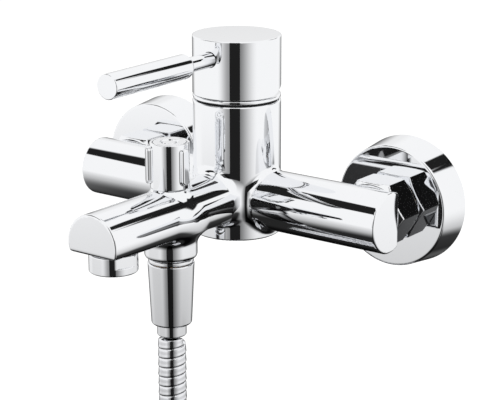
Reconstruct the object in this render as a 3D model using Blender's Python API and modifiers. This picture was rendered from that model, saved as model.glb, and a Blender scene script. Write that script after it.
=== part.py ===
"""A wall-mounted bath and shower mixer with a single lever, as separate solids.

Run with: blender --background --python part.py
Metres, +Z up. The wall is the plane Y = 0 and the water supplies lie behind it (+Y).
The origin is on the wall, midway between the two inlets and at their height.
"""

import math

import bmesh
import bpy
from mathutils import Matrix, Vector

MM = 0.001

# Clearances
GAP = 0.3 * MM  # between two pieces that touch
RUN = 0.5 * MM  # round a piece that turns or tilts
OVERCUT = 2.0 * MM  # how far a cutter runs past the face that it opens

# Overall places, measured from the wall and from the inlets' height
INLET_SPACING = 150.0 * MM
BODY_TO_WALL = 43.0 * MM
SPOUT_REACH = 153.7 * MM
DIVERTER_TO_WALL = 96.4 * MM
AERATOR_SETBACK = 15.0 * MM  # spout tip to the aerator's axis

# Casting
TRUNK_RADIUS = 22.0 * MM
TRUNK_DROP = 19.0 * MM  # below the inlets' height
TRUNK_RISE = 48.9 * MM  # above it
ARM_RADIUS = 15.0 * MM
ARM_OVERHANG = 15.9 * MM  # past the inlet's axis
ARM_FLAT = 7.2 * MM  # arm axis to the flat that faces the wall
SPOUT_RADIUS = 14.6 * MM
SPOUT_FLAT = 5.2 * MM  # spout axis to its flat underside, at the tip
SPOUT_FALL = math.radians(2.4)  # the underside drops towards the trunk
EDGE = 0.8 * MM  # broken edges of the casting
STUB_RADIUS = 12.0 * MM
STUB_DROP = 19.9 * MM
STUB_FLARE = 2.2 * MM
BOSS_RADIUS = 8.7 * MM
BOSS_RISE = 0.3 * MM  # above the spout's ridge
BOSS_FLARE = 2.0 * MM
FLARE_HEIGHT = 7.0 * MM

# Waterways in the casting
CARTRIDGE_RADIUS = 17.2 * MM
USUAL_CARTRIDGE = 17.2 * MM  # the radius that the sizes across it are drawn for
SCALE = CARTRIDGE_RADIUS / USUAL_CARTRIDGE
ARM_BORE = 6.5 * MM
ARM_BORE_START = 6.0 * MM  # from the trunk's axis
ARM_END_WALL = 6.0 * MM
MIXED_BORE = 3.8 * MM
SPOUT_BORE = 5.0 * MM
CHANNEL_Z = 1.5 * MM  # height of the spout's waterway
PORT_RADIUS = 3.0 * MM * SCALE
INLET_PORT_X = 8.0 * MM * SCALE
INLET_PORT_Y = -6.0 * MM * SCALE
MIXED_PORT_Y = 7.0 * MM * SCALE

# Cartridge
BASE_HEIGHT = 5.7 * MM
SEAL_RADIUS = 4.2 * MM * SCALE
SEAL_WIRE = 0.75 * MM
DISC_HEIGHT = 4.5 * MM
FIXED_DISC_RADIUS = 14.2 * MM * SCALE
HOUSING_BORE = 15.3 * MM * SCALE
DISC_ROOM = 4.5 * MM  # what the moving disc slides in, and its clearance
MOVING_DISC_RADIUS = HOUSING_BORE - DISC_ROOM
HOUSING_LID = 2.5 * MM
CARRIER_PLATE = 3.1 * MM
CARRIER_BOSS_RADIUS = 5.0 * MM
CARRIER_BOSS_HEIGHT = 4.5 * MM
TURNER_FLANGE_RADIUS = HOUSING_BORE - 0.4 * MM
TURNER_FLANGE_HEIGHT = 4.0 * MM
TURNER_RADIUS = 11.0 * MM
TURNER_RISE = 4.5 * MM  # above the lever's pivot
NOTCH_WIDTH = 3.0 * MM
POCKET_HALF = 6.0 * MM * SCALE  # the moving disc's mixing pocket, from its centre
POCKET_START = -1.5 * MM * SCALE
POCKET_END = 8.0 * MM * SCALE
NUT_THREAD_RADIUS = 19.7 * MM
NUT_HEIGHT = 5.0 * MM
SPANNER_NOTCHES = 6

# Cover ring and lever
COVER_LIP = 1.7 * MM
SHADOW_GAP = 1.1 * MM  # dark groove between the trunk and the cover ring
COVER_RADIUS = 21.9 * MM
LIFT_RANGE = math.radians(18.0)
PIVOT_BELOW_COVER = 1.7 * MM  # from the cover ring's top down to the lever's pivot
DISC_ARM = 12.6 * MM  # pivot to the foot that pushes the disc
FOOT_RADIUS = 2.2 * MM
PIN_RADIUS = 1.5 * MM
STEM_SIDE = 7.6 * MM
STEM_BLADE_WIDTH = 5.6 * MM
CAP_RADIUS = 22.0 * MM
CAP_HEIGHT = 29.0 * MM
CAP_EDGE = 0.5 * MM
CAP_BORE = 19.0 * MM
CAP_BORE_DEPTH = 10.0 * MM
SOCKET_DEPTH = 7.5 * MM
LEVER_BELOW_TOP = 9.4 * MM
NECK_RADIUS = 3.7 * MM
NECK_SEAT = 13.5 * MM  # length of the neck inside the cap
NECK_LENGTH = 17.0 * MM  # visible length
GRIP_RADIUS = 6.0 * MM
GRIP_LENGTH = 58.3 * MM
GRIP_EDGE = 0.7 * MM
GRIP_TAPER = 2.4 * MM
GRIP_THREAD = 2.6 * MM
GRIP_THREAD_LENGTH = 11.0 * MM
SET_SCREW_RADIUS = 2.0 * MM
PLUG_RADIUS = 2.9 * MM
PLUG_DEPTH = 2.2 * MM

# Inlet unions and wall flanges
UNION_FLATS = 31.0 * MM
UNION_LENGTH = 17.4 * MM
UNION_LIP = 3.2 * MM
UNION_BORE = 13.4 * MM
TAIL_RADIUS = 9.2 * MM
TAIL_BORE = 6.0 * MM
TAIL_SEAT = 6.7 * MM  # length screwed into the arm
TAIL_FLANGE_RADIUS = 12.8 * MM
TAIL_FLANGE = 2.5 * MM
WASHER_THICKNESS = 1.8 * MM
STRAINER_THICKNESS = 1.2 * MM
STRAINER_HOLE = 1.9 * MM
STRAINER_RING = 4.8 * MM
STRAINER_HOLES = 6
CONNECTOR_THREAD = 13.0 * MM
CONNECTOR_BORE = 7.5 * MM
CONNECTOR_NECK = 11.0 * MM
CONNECTOR_CRANK = 7.0 * MM  # distance from the wall where the offset end begins
CONNECTOR_OVERLAP = 6.0 * MM
SUPPLY_THREAD = 10.4 * MM
SUPPLY_DEPTH = 22.0 * MM  # how far the connector reaches behind the wall's face
ECCENTRICITY = 6.0 * MM
FLANGE_FRONT_RADIUS = 30.3 * MM
FLANGE_BACK_RADIUS = 32.2 * MM
FLANGE_DEPTH = 17.4 * MM
FLANGE_WALL = 1.5 * MM

# Diverter
DIVERTER_BORE = 7.2 * MM
ROTOR_DROP = 9.0 * MM  # rotor's foot below the inlets' height
ROTOR_RISE = 6.8 * MM
ROTOR_CORE = 4.0 * MM
GROOVE_DEPTH = 1.6 * MM
GROOVE_HEIGHT = 8.0 * MM
WINDOW_RADIUS = 3.4 * MM
ROTOR_ROOF = 2.5 * MM
SHAFT_RADIUS = 3.2 * MM
SHAFT_FLATS = 4.8 * MM  # across the two flats that turn with the knob
SHAFT_FLAT_LENGTH = 9.0 * MM
BONNET_COLLAR_RADIUS = 5.6 * MM
BONNET_COLLAR_RISE = 2.4 * MM
BONNET_GROOVE_Z = 9.6 * MM
BONNET_GROOVE = 2.0 * MM
BONNET_GROOVE_RADIUS = 5.2 * MM
KNOB_RADIUS = 8.9 * MM
KNOB_HEIGHT = 22.2 * MM
KNOB_WALL = 2.6 * MM
KNOB_WEB = 4.0 * MM
GRIP_PADS = 3  # raised grips round the knob
GRIP_PAD_WIDTH = 4.4 * MM
GRIP_PAD_HEIGHT = 18.0 * MM
GRIP_PAD_PROUD = 2.1 * MM
GRIP_PAD_LIFT = 0.3 * MM  # above the knob's middle
FIRST_GRIP_PAD = math.radians(-8.0)  # from +X, towards +Y
KNOB_EDGE = 0.4 * MM
KNOB_DISC_RADIUS = 7.2 * MM
KNOB_DISC_THICKNESS = 1.2 * MM
KNOB_SCREW_RADIUS = 1.3 * MM
KNOB_SCREW_HEAD = 3.3 * MM
KNOB_SCREW_LENGTH = 12.0 * MM  # under its head

# Aerator
AERATOR_RADIUS = 11.6 * MM
AERATOR_HEIGHT = 8.9 * MM
AERATOR_THREAD = 10.3 * MM
AERATOR_THREAD_HEIGHT = 6.7 * MM
AERATOR_WASHER = 1.6 * MM
AERATOR_BORE = 9.2 * MM
AERATOR_LIP = 8.2 * MM
WRENCH_FLAT = 10.6 * MM  # axis to each wrench flat
WRENCH_FLAT_HEIGHT = 3.8 * MM
WRENCH_FLAT_TURN = math.radians(-20.0)
AERATOR_LEDGE = 1.2 * MM
INSERT_HOLE = 1.5 * MM
INSERT_RING = 5.6 * MM
INSERT_HOLES = 10

# Shower outlet, check valve and hose nut
RING_HEIGHT = 1.9 * MM
RING_RADIUS = 11.0 * MM
NIPPLE_SEAT_RADIUS = 8.3 * MM
NIPPLE_SEAT = 6.1 * MM
NIPPLE_THREAD = 9.4 * MM
NIPPLE_THREAD_LENGTH = 10.6 * MM
NIPPLE_BORE = 6.2 * MM
VALVE_SEAT_HEIGHT = 2.9 * MM
VALVE_SEAT_BORE = 3.6 * MM
POPPET_RADIUS = 4.8 * MM
POPPET_THICKNESS = 1.7 * MM
POPPET_STEM = 1.3 * MM
SPRING_RADIUS = 3.4 * MM
SPRING_WIRE = 0.4 * MM
SPRING_LENGTH = 8.0 * MM
SPRING_TURNS = 4
SPRING_STEPS = 12
GUIDE_HEIGHT = 2.0 * MM
GUIDE_WALL = 1.0 * MM
GUIDE_BARS = 3
HOSE_NUT_TOP = 11.4 * MM
HOSE_NUT_FOOT = 9.9 * MM
HOSE_NUT_LENGTH = 31.3 * MM
HOSE_NUT_ROUND = 2.4 * MM
HOSE_WASHER = 2.0 * MM
FERRULE_FLANGE = 2.0 * MM
FERRULE_FLANGE_RADIUS = 9.2 * MM
FERRULE_RADIUS = 7.2 * MM
FERRULE_SHOWN = 6.0 * MM
FERRULE_BORE = 4.4 * MM

# Hose: hangs from its nut, then lies in an upright coil parallel to the wall
HOSE_RADIUS = 7.0 * MM
HOSE_LENGTH = 1.600
COIL_RADIUS = 70.0 * MM
COIL_TURNS = 3
COIL_PITCH = 14.4 * MM
COIL_START = math.radians(62.5)  # where the lead meets the coil, from +X towards +Z
COIL_BELOW_HOSE = 151.3 * MM  # coil's centre below the hose's top
LEAD_ROUTE = (  # (X, drop below the hose's top) of the lead, down to where the coil begins
    (0.0, 0.0), (0.0, 12.0), (0.0, 24.0), (0.3, 37.0), (2.3, 51.0),
    (8.2, 65.8), (17.8, 78.4), (32.3, 89.2),
)
LEAD_ROUTE_LENGTH = 101.8 * MM  # the lead's length down to the coil
LEAD_END = 5  # the route's point where the lead's own solid stops, clear of the coil
TAIL_CLEAR = 46.0 * MM  # below the coil's centre, where the tail's own solid begins
TIE_WIDTH = 12.0 * MM
TIE_THICKNESS = 1.2 * MM
TIE_SLACK = 0.7 * MM
TIE_ANGLES = (math.radians(160.0), math.radians(270.0))

# Places that follow from the sizes above
BODY_Y = -BODY_TO_WALL
INLET_X = INLET_SPACING / 2
DIVERTER_Y = -DIVERTER_TO_WALL
TIP_Y = -SPOUT_REACH
AERATOR_Y = TIP_Y + AERATOR_SETBACK
ARM_BACK_Y = BODY_Y + ARM_FLAT

COVER_TOP = TRUNK_RISE + SHADOW_GAP + COVER_LIP
PIVOT_Z = COVER_TOP - PIVOT_BELOW_COVER
FOOT_Z = PIVOT_Z - DISC_ARM
CARRIER_TOP = FOOT_Z + FOOT_RADIUS
CARRIER_Z = CARRIER_TOP - CARRIER_BOSS_HEIGHT - CARRIER_PLATE
MOVING_DISC_Z = CARRIER_Z - GAP - DISC_HEIGHT
FIXED_DISC_Z = MOVING_DISC_Z - GAP - DISC_HEIGHT
BASE_Z = FIXED_DISC_Z - GAP - BASE_HEIGHT
CHAMBER_FLOOR = BASE_Z - GAP
NUT_Z = TRUNK_RISE - 0.6 * MM - NUT_HEIGHT
LID_TOP = NUT_Z - GAP
LID_Z = LID_TOP - HOUSING_LID
TURNER_Z = LID_Z - GAP - TURNER_FLANGE_HEIGHT
CAP_Z = COVER_TOP + GAP
CAP_TOP = CAP_Z + CAP_HEIGHT
LEVER_Z = CAP_TOP - LEVER_BELOW_TOP
SCREW_Z = CAP_Z + CAP_BORE_DEPTH + 4.0 * MM

BOSS_TOP = SPOUT_RADIUS + BOSS_RISE
KNOB_Z = BOSS_TOP + GAP
KNOB_TOP = KNOB_Z + KNOB_HEIGHT
COLLAR_TOP = BOSS_TOP + BONNET_COLLAR_RISE
KNOB_CAVITY_TOP = COLLAR_TOP + RUN
SHAFT_TOP = COLLAR_TOP + SHAFT_FLAT_LENGTH
SCREW_SEAT = SHAFT_TOP + GAP + KNOB_WEB
KNOB_SCREW_TIP = SCREW_SEAT + GAP - KNOB_SCREW_LENGTH

AERATOR_FACE = -SPOUT_FLAT - (AERATOR_SETBACK + AERATOR_RADIUS) * math.tan(SPOUT_FALL)
AERATOR_TOP = AERATOR_FACE - GAP
AERATOR_FOOT = AERATOR_TOP - AERATOR_HEIGHT
AERATOR_THREAD_TOP = AERATOR_TOP + AERATOR_THREAD_HEIGHT

STUB_Z = -STUB_DROP
RING_Z = STUB_Z - GAP - RING_HEIGHT
NUT_TOP_Z = RING_Z - GAP
NIPPLE_TOP = STUB_Z + NIPPLE_SEAT
NIPPLE_FOOT = NUT_TOP_Z - NIPPLE_THREAD_LENGTH
WASHER_Z = NIPPLE_FOOT - GAP - HOSE_WASHER
FERRULE_TOP = WASHER_Z - GAP
HOSE_NUT_Z = NUT_TOP_Z - HOSE_NUT_LENGTH
FERRULE_Z = HOSE_NUT_Z - FERRULE_SHOWN
HOSE_TOP = FERRULE_Z - GAP
COIL_Z = HOSE_TOP - COIL_BELOW_HOSE

SEAT = 0.0001  # largest distance that a modifier may merge
SIDES = ((-1, "left"), (1, "right"))


def clear_scene():
    """Remove what a new file starts with."""
    for item in list(bpy.data.objects):
        bpy.data.objects.remove(item, do_unlink=True)


def collection(name, hidden=False):
    """A new collection in the scene."""
    group = bpy.data.collections.new(name)
    bpy.context.scene.collection.children.link(group)
    group.hide_render = hidden
    return group


def material(name, colour, metallic, roughness):
    """A Principled BSDF material."""
    made = bpy.data.materials.new(name)
    made.use_nodes = True
    shader = made.node_tree.nodes["Principled BSDF"]
    shader.inputs["Base Color"].default_value = (*colour, 1.0)
    shader.inputs["Metallic"].default_value = metallic
    shader.inputs["Roughness"].default_value = roughness
    return made


def link(name, mesh, place=(0, 0, 0), turn=(0, 0, 0)):
    """A part object in the mixer's collection."""
    item = bpy.data.objects.new(name, mesh)
    PARTS.objects.link(item)
    item.location = place
    item.rotation_euler = turn
    return item


def dress(item, finish, parent=None):
    """Give a part its material and, if it moves, its joint's empty as parent."""
    item.data.materials.clear()
    item.data.materials.append(finish)
    if parent:
        item.parent = parent
        item.matrix_parent_inverse = parent.matrix_world.inverted()
    return item


def joint(name, place):
    """An empty on a joint's axis, which the pieces that it moves are parented to."""
    item = bpy.data.objects.new(name, None)
    PARTS.objects.link(item)
    item.location = place
    bpy.context.view_layer.update()
    return item


def turned(name, outline, place=(0, 0, 0), turn=(0, 0, 0), sides=40, ring=False):
    """A turned piece: an outline of (radius, height) points, from the top down its
    outer side. A ring's outline goes on up its bore and closes on its first point."""
    mesh = bpy.data.meshes.new(name)
    points = [(radius, 0, height) for radius, height in outline]
    edges = [(i, i + 1) for i in range(len(points) - 1)]
    if ring:
        edges.append((len(points) - 1, 0))
    mesh.from_pydata(points, edges, [])
    item = link(name, mesh, place, turn)
    screw = item.modifiers.new("turn", "SCREW")
    screw.axis = "Z"
    screw.steps = screw.render_steps = sides
    screw.use_merge_vertices = True
    screw.merge_threshold = SEAT
    screw.use_smooth_shade = True
    if not ring:
        flat = item.modifiers.new("flat ends", "DECIMATE")
        flat.decimate_type = "DISSOLVE"
        flat.angle_limit = math.radians(0.5)
    return item


def rod(name, radius, low, high, place=(0, 0, 0), turn=(0, 0, 0), sides=28, edge=0.0):
    """A solid cylinder from low to high on its own axis, with broken edges if asked."""
    side = [(radius, high), (radius, low)]
    if edge:
        side = [
            (radius - edge, high), (radius, high - edge), (radius, low + edge), (radius - edge, low)
        ]
    return turned(name, [(0, high), *side, (0, low)], place, turn, sides)


def tube(name, outer, inner, low, high, place=(0, 0, 0), turn=(0, 0, 0), sides=28):
    """A plain ring or sleeve."""
    outline = [(outer, high), (outer, low), (inner, low), (inner, high)]
    return turned(name, outline, place, turn, sides, ring=True)


def o_ring(name, radius, wire, place):
    """A round-section sealing ring, from the torus primitive."""
    bpy.ops.mesh.primitive_torus_add(
        major_radius=radius, minor_radius=wire, major_segments=18, minor_segments=6
    )
    made = bpy.context.object
    mesh = made.data
    bpy.data.objects.remove(made)
    mesh.shade_smooth()
    return link(name, mesh, place)


def block(name, low, high, place=(0, 0, 0), turn=(0, 0, 0)):
    """A box between two corners."""
    mesh = bpy.data.meshes.new(name)
    shape = bmesh.new()
    bmesh.ops.create_cube(shape, size=1.0)
    size = [b - a for a, b in zip(low, high)]
    middle = [(a + b) / 2 for a, b in zip(low, high)]
    bmesh.ops.scale(shape, vec=size, verts=shape.verts)
    bmesh.ops.translate(shape, vec=middle, verts=shape.verts)
    shape.to_mesh(mesh)
    shape.free()
    return link(name, mesh, place, turn)


def prism(name, flats, low, high, sides, place=(0, 0, 0), turn=(0, 0, 0)):
    """A prism with this distance across flats, two of its flats facing along X."""
    mesh = bpy.data.meshes.new(name)
    shape = bmesh.new()
    radius = flats / 2 / math.cos(math.pi / sides)
    bmesh.ops.create_cone(
        shape, cap_ends=True, segments=sides, radius1=radius, radius2=radius, depth=high - low
    )
    bmesh.ops.rotate(
        shape,
        verts=shape.verts,
        cent=(0, 0, 0),
        matrix=Matrix.Rotation(math.pi / sides, 3, "Z"),
    )
    bmesh.ops.translate(shape, vec=(0, 0, (low + high) / 2), verts=shape.verts)
    shape.to_mesh(mesh)
    shape.free()
    return link(name, mesh, place, turn)


def drilled(name, radius, start, end, sides=24):
    """A solid cylinder between two points, for a waterway."""
    along = Vector(end) - Vector(start)
    turn = along.to_track_quat("Z", "X").to_euler()
    return rod(name, radius, 0, along.length, start, turn, sides)


def combine(target, tool, operation):
    """A Boolean of the tool on the target; the tool goes with the hidden ones."""
    step = target.modifiers.new(f"{operation} {tool.name}", "BOOLEAN")
    step.operation = operation
    step.solver = "EXACT"
    step.object = tool
    if tool.name in PARTS.objects:
        PARTS.objects.unlink(tool)
        TOOLS.objects.link(tool)
    tool.hide_render = True
    tool.display_type = "WIRE"
    return target


def cut(target, *tools):
    """Take each tool out of the target."""
    for tool in tools:
        combine(target, tool, "DIFFERENCE")
    return target


def fuse(target, *tools):
    """Join each tool to the target."""
    for tool in tools:
        combine(target, tool, "UNION")
    return target


def chrome(item, parent=None):
    return dress(item, CHROME, parent)


def flare(radius, extra, high, low, steps=4):
    """A quarter curve that narrows from radius + extra at high to radius at low."""
    turns = [math.pi / 2 * k / steps for k in range(steps + 1)]
    drop = high - low
    return [
        (radius + extra * (1 - math.sin(t)), high - drop * (1 - math.cos(t))) for t in turns
    ]


ALONG_X = (0, math.pi / 2, 0)  # a piece's own +Z turned to +X
FORWARD = (math.pi / 2, 0, 0)  # turned to -Y, away from the wall
BACKWARD = (-math.pi / 2, 0, 0)  # turned to +Y


def spout_solid():
    """The spout: a cylinder along -Y, its underside cut flat and falling to the trunk."""
    length = SPOUT_REACH - BODY_TO_WALL
    spout = rod("spout_solid", SPOUT_RADIUS, 0, length, (0, BODY_Y, 0), FORWARD, 40, EDGE)
    low = (-SPOUT_RADIUS - OVERCUT, -OVERCUT, -3 * SPOUT_RADIUS)
    high = (SPOUT_RADIUS + OVERCUT, length + SPOUT_RADIUS, 0)
    under = block("spout_underside", low, high, (0, TIP_Y, -SPOUT_FLAT), (-SPOUT_FALL, 0, 0))
    return cut(spout, under)


def arms_solid():
    """Both arms: one cylinder along X with a flat along its wall side."""
    reach = INLET_X + ARM_OVERHANG
    arms = rod("arms_solid", ARM_RADIUS, -reach, reach, (0, BODY_Y, 0), ALONG_X, 40, EDGE)
    low = (-reach - OVERCUT, ARM_BACK_Y, -ARM_RADIUS - OVERCUT)
    high = (reach + OVERCUT, ARM_BACK_Y + ARM_RADIUS, ARM_RADIUS + OVERCUT)
    return cut(arms, block("arms_back", low, high))


def stub_solid():
    """The shower outlet's stub, which widens into the spout above it."""
    curve = flare(STUB_RADIUS, STUB_FLARE, STUB_Z + 2 * FLARE_HEIGHT, STUB_Z + FLARE_HEIGHT)
    outline = [(0, 0), (STUB_RADIUS + STUB_FLARE, 0), *curve, (STUB_RADIUS, STUB_Z), (0, STUB_Z)]
    return turned("stub_solid", outline, (0, DIVERTER_Y, 0))


def boss_solid():
    """The low boss under the diverter's knob, flared into the spout below it."""
    curve = [
        (BOSS_RADIUS + BOSS_FLARE * t * t, BOSS_TOP - EDGE - FLARE_HEIGHT * t)
        for t in (0.0, 0.4, 0.7, 1.0)
    ]
    outline = [(0, BOSS_TOP), (BOSS_RADIUS, BOSS_TOP), *curve, (BOSS_RADIUS + BOSS_FLARE, 0), (0, 0)]
    return turned("boss_solid", outline, (0, DIVERTER_Y, 0))


def chamber_tool():
    """The cartridge's chamber, with the clamp nut's wider thread above it."""
    outline = [
        (0, TRUNK_RISE + OVERCUT),
        (NUT_THREAD_RADIUS + GAP, TRUNK_RISE + OVERCUT),
        (NUT_THREAD_RADIUS + GAP, LID_TOP),
        (CARTRIDGE_RADIUS + GAP, LID_TOP),
        (CARTRIDGE_RADIUS + GAP, CHAMBER_FLOOR),
        (0, CHAMBER_FLOOR),
    ]
    return turned("chamber", outline, (0, BODY_Y, 0), sides=48)


def inlet_tools(side, hand):
    """One arm's waterway: bore, riser to the cartridge, and the union's threaded hole."""
    reach = side * (INLET_X + ARM_OVERHANG - ARM_END_WALL)
    start = side * ARM_BORE_START
    bore = drilled(f"{hand}_arm_bore", ARM_BORE, (start, BODY_Y, 0), (reach, BODY_Y, 0))
    port = (side * INLET_PORT_X, BODY_Y + INLET_PORT_Y)
    riser = rod(f"{hand}_riser", PORT_RADIUS, 0, CHAMBER_FLOOR + OVERCUT, (*port, 0), sides=20)
    seat = (side * INLET_X, ARM_BACK_Y, 0)
    hole = rod(f"{hand}_union_hole", TAIL_RADIUS + GAP, -OVERCUT, TAIL_SEAT + GAP, seat, FORWARD)
    return bore, riser, hole


def outlet_tools():
    """The mixed water's way: down, forward to the diverter, then to both outlets."""
    turn_z = CHAMBER_FLOOR - MIXED_BORE - OVERCUT
    mixed = BODY_Y + MIXED_PORT_Y
    down = rod("mixed_port", PORT_RADIUS, turn_z, CHAMBER_FLOOR + OVERCUT, (0, mixed, 0), sides=20)
    along = drilled("mixed_way", MIXED_BORE, (0, mixed, turn_z), (0, DIVERTER_Y, CHANNEL_Z))
    far = AERATOR_Y - AERATOR_BORE / 2
    spout = drilled("spout_way", SPOUT_BORE, (0, DIVERTER_Y, CHANNEL_Z), (0, far, CHANNEL_Z))
    at = (0, DIVERTER_Y, 0)
    valve = rod("diverter_bore", DIVERTER_BORE, -ROTOR_DROP - GAP, BOSS_TOP + OVERCUT, at)
    below = rod("shower_way", NIPPLE_BORE, STUB_Z - OVERCUT, 0, at)
    seat = rod("nipple_hole", NIPPLE_SEAT_RADIUS + GAP, STUB_Z - OVERCUT, NIPPLE_TOP + GAP, at)
    roof = AERATOR_THREAD_TOP + AERATOR_WASHER + 2 * GAP
    mouth = rod("aerator_bore", AERATOR_THREAD + GAP, AERATOR_FOOT, roof, (0, AERATOR_Y, 0))
    return valve, below, seat, mouth, spout, along, down


def mixer_body():
    """The brass casting: trunk, arms, spout, stub and boss, with its waterways."""
    outline = [
        (0, TRUNK_RISE),
        (TRUNK_RADIUS, TRUNK_RISE),
        (TRUNK_RADIUS, -TRUNK_DROP + EDGE),
        (TRUNK_RADIUS - EDGE, -TRUNK_DROP),
        (0, -TRUNK_DROP),
    ]
    body = turned("mixer_body", outline, (0, BODY_Y, 0), sides=48)
    fuse(body, arms_solid(), spout_solid(), stub_solid(), boss_solid())
    cut(body, chamber_tool(), *outlet_tools())
    for side, hand in SIDES:
        cut(body, *inlet_tools(side, hand))
    return chrome(body)


def inlet_union(side, hand):
    """One inlet: tailpiece, hexagon nut, washer, strainer, eccentric connector, flange.
    Heights in the outlines are distances from the wall."""
    at = (side * INLET_X, 0, 0)
    face = -ARM_BACK_Y
    front = face - GAP
    back = front - UNION_LENGTH
    flange_front = front - UNION_LIP - GAP
    flange_back = flange_front - TAIL_FLANGE
    washer_front = flange_back - GAP
    washer_back = washer_front - WASHER_THICKNESS
    thread_front = washer_back - GAP

    tail = [
        (TAIL_RADIUS, face + TAIL_SEAT),
        (TAIL_RADIUS, flange_front),
        (TAIL_FLANGE_RADIUS, flange_front),
        (TAIL_FLANGE_RADIUS, flange_back),
        (TAIL_BORE, flange_back),
        (TAIL_BORE, face + TAIL_SEAT),
    ]
    dress(turned(f"inlet_tailpiece_{hand}", tail, at, FORWARD, 28, ring=True), BRASS)

    nut = prism(f"union_nut_{hand}", UNION_FLATS, back, front, 6, at, FORWARD)
    lip = rod(f"{hand}_nut_lip", TAIL_RADIUS + GAP, back - OVERCUT, front + OVERCUT, at, FORWARD)
    thread = rod(f"{hand}_nut_thread", UNION_BORE, back - OVERCUT, front - UNION_LIP, at, FORWARD)
    chrome(cut(nut, lip, thread))

    hole = TAIL_RADIUS + GAP
    washer = tube(
        f"inlet_washer_{hand}", TAIL_FLANGE_RADIUS, hole, washer_back, washer_front, at, FORWARD
    )
    dress(washer, RUBBER)
    low = washer_front - STRAINER_THICKNESS
    strainer = rod(f"inlet_strainer_{hand}", TAIL_RADIUS, low, washer_front, at, FORWARD, 24)
    holes = [
        rod(
            f"{hand}_strainer_hole_{k}",
            STRAINER_HOLE,
            low - OVERCUT,
            washer_front + OVERCUT,
            (at[0] + STRAINER_RING * math.cos(turn), 0, STRAINER_RING * math.sin(turn)),
            FORWARD,
            12,
        )
        for k, turn in enumerate(math.tau * k / STRAINER_HOLES for k in range(STRAINER_HOLES))
    ]
    dress(cut(strainer, *holes), STEEL)

    neck = FLANGE_DEPTH - OVERCUT
    connector = [
        (0, thread_front),
        (CONNECTOR_THREAD - EDGE, thread_front),
        (CONNECTOR_THREAD, thread_front - EDGE),
        (CONNECTOR_THREAD, neck),
        (CONNECTOR_NECK, neck),
        (CONNECTOR_NECK, CONNECTOR_CRANK - CONNECTOR_OVERLAP),
        (0, CONNECTOR_CRANK - CONNECTOR_OVERLAP),
    ]
    piece = turned(f"eccentric_connector_{hand}", connector, at, FORWARD, 28)
    offset = (at[0], 0, ECCENTRICITY)
    supply = rod(
        f"{hand}_supply_end", SUPPLY_THREAD, -SUPPLY_DEPTH, CONNECTOR_CRANK, offset, FORWARD, 24, EDGE
    )
    fuse(piece, supply)
    inner = rod(
        f"{hand}_connector_bore",
        CONNECTOR_BORE,
        CONNECTOR_CRANK - CONNECTOR_OVERLAP / 2,
        thread_front + OVERCUT,
        at,
        FORWARD,
        24,
    )
    outer = rod(
        f"{hand}_supply_bore",
        TAIL_BORE,
        -SUPPLY_DEPTH - OVERCUT,
        CONNECTOR_CRANK,
        offset,
        FORWARD,
        20,
    )
    dress(cut(piece, inner, outer), BRASS)

    rim = FLANGE_DEPTH
    hole = CONNECTOR_THREAD + GAP
    flange = [
        (hole, rim),
        (FLANGE_FRONT_RADIUS - EDGE, rim),
        (FLANGE_FRONT_RADIUS, rim - EDGE),
        (FLANGE_BACK_RADIUS, 0),
        (FLANGE_BACK_RADIUS - FLANGE_WALL, 0),
        (FLANGE_FRONT_RADIUS - FLANGE_WALL, rim - FLANGE_WALL),
        (hole, rim - FLANGE_WALL),
    ]
    chrome(turned(f"wall_flange_{hand}", flange, at, FORWARD, 44, ring=True))


def port_tools(prefix, low, high):
    """Cylinders through the two inlet ports and the mixed port."""
    places = {
        "left": (-INLET_PORT_X, INLET_PORT_Y),
        "right": (INLET_PORT_X, INLET_PORT_Y),
        "mixed": (0, MIXED_PORT_Y),
    }
    return {
        key: rod(f"{prefix}_{key}_port", PORT_RADIUS, low, high, (x, BODY_Y + y, 0), sides=20)
        for key, (x, y) in places.items()
    }


def cartridge_fixed():
    """The cartridge's fixed pieces: base, its seals, lower disc and housing."""
    at = (0, BODY_Y, 0)
    base = rod("cartridge_base", CARTRIDGE_RADIUS, BASE_Z, BASE_Z + BASE_HEIGHT, at, sides=40)
    cut(base, *port_tools("base", BASE_Z - OVERCUT, BASE_Z + BASE_HEIGHT + OVERCUT).values())
    groove_top = BASE_Z + 2 * SEAL_WIRE + GAP
    outer = SEAL_RADIUS + SEAL_WIRE + GAP
    places = ((-INLET_PORT_X, INLET_PORT_Y), (INLET_PORT_X, INLET_PORT_Y), (0, MIXED_PORT_Y))
    for name, (x, y) in zip(("left", "right", "mixed"), places):
        spot = (x, BODY_Y + y, 0)
        cut(base, rod(f"{name}_seal_groove", outer, BASE_Z - OVERCUT, groove_top, spot, sides=24))
        seal = o_ring(f"port_seal_{name}", SEAL_RADIUS, SEAL_WIRE, (x, BODY_Y + y, BASE_Z + SEAL_WIRE))
        dress(seal, RUBBER)
    dress(base, PLASTIC)

    top = FIXED_DISC_Z + DISC_HEIGHT
    lower = rod("fixed_ceramic_disc", FIXED_DISC_RADIUS, FIXED_DISC_Z, top, at, sides=40)
    cut(lower, *port_tools("disc", FIXED_DISC_Z - OVERCUT, top + OVERCUT).values())
    dress(lower, CERAMIC)

    hole = TURNER_RADIUS + RUN
    housing = [
        (CARTRIDGE_RADIUS, LID_TOP),
        (CARTRIDGE_RADIUS, FIXED_DISC_Z),
        (HOUSING_BORE, FIXED_DISC_Z),
        (HOUSING_BORE, LID_Z),
        (hole, LID_Z),
        (hole, LID_TOP),
    ]
    dress(turned("cartridge_housing", housing, at, sides=40, ring=True), PLASTIC)


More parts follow.
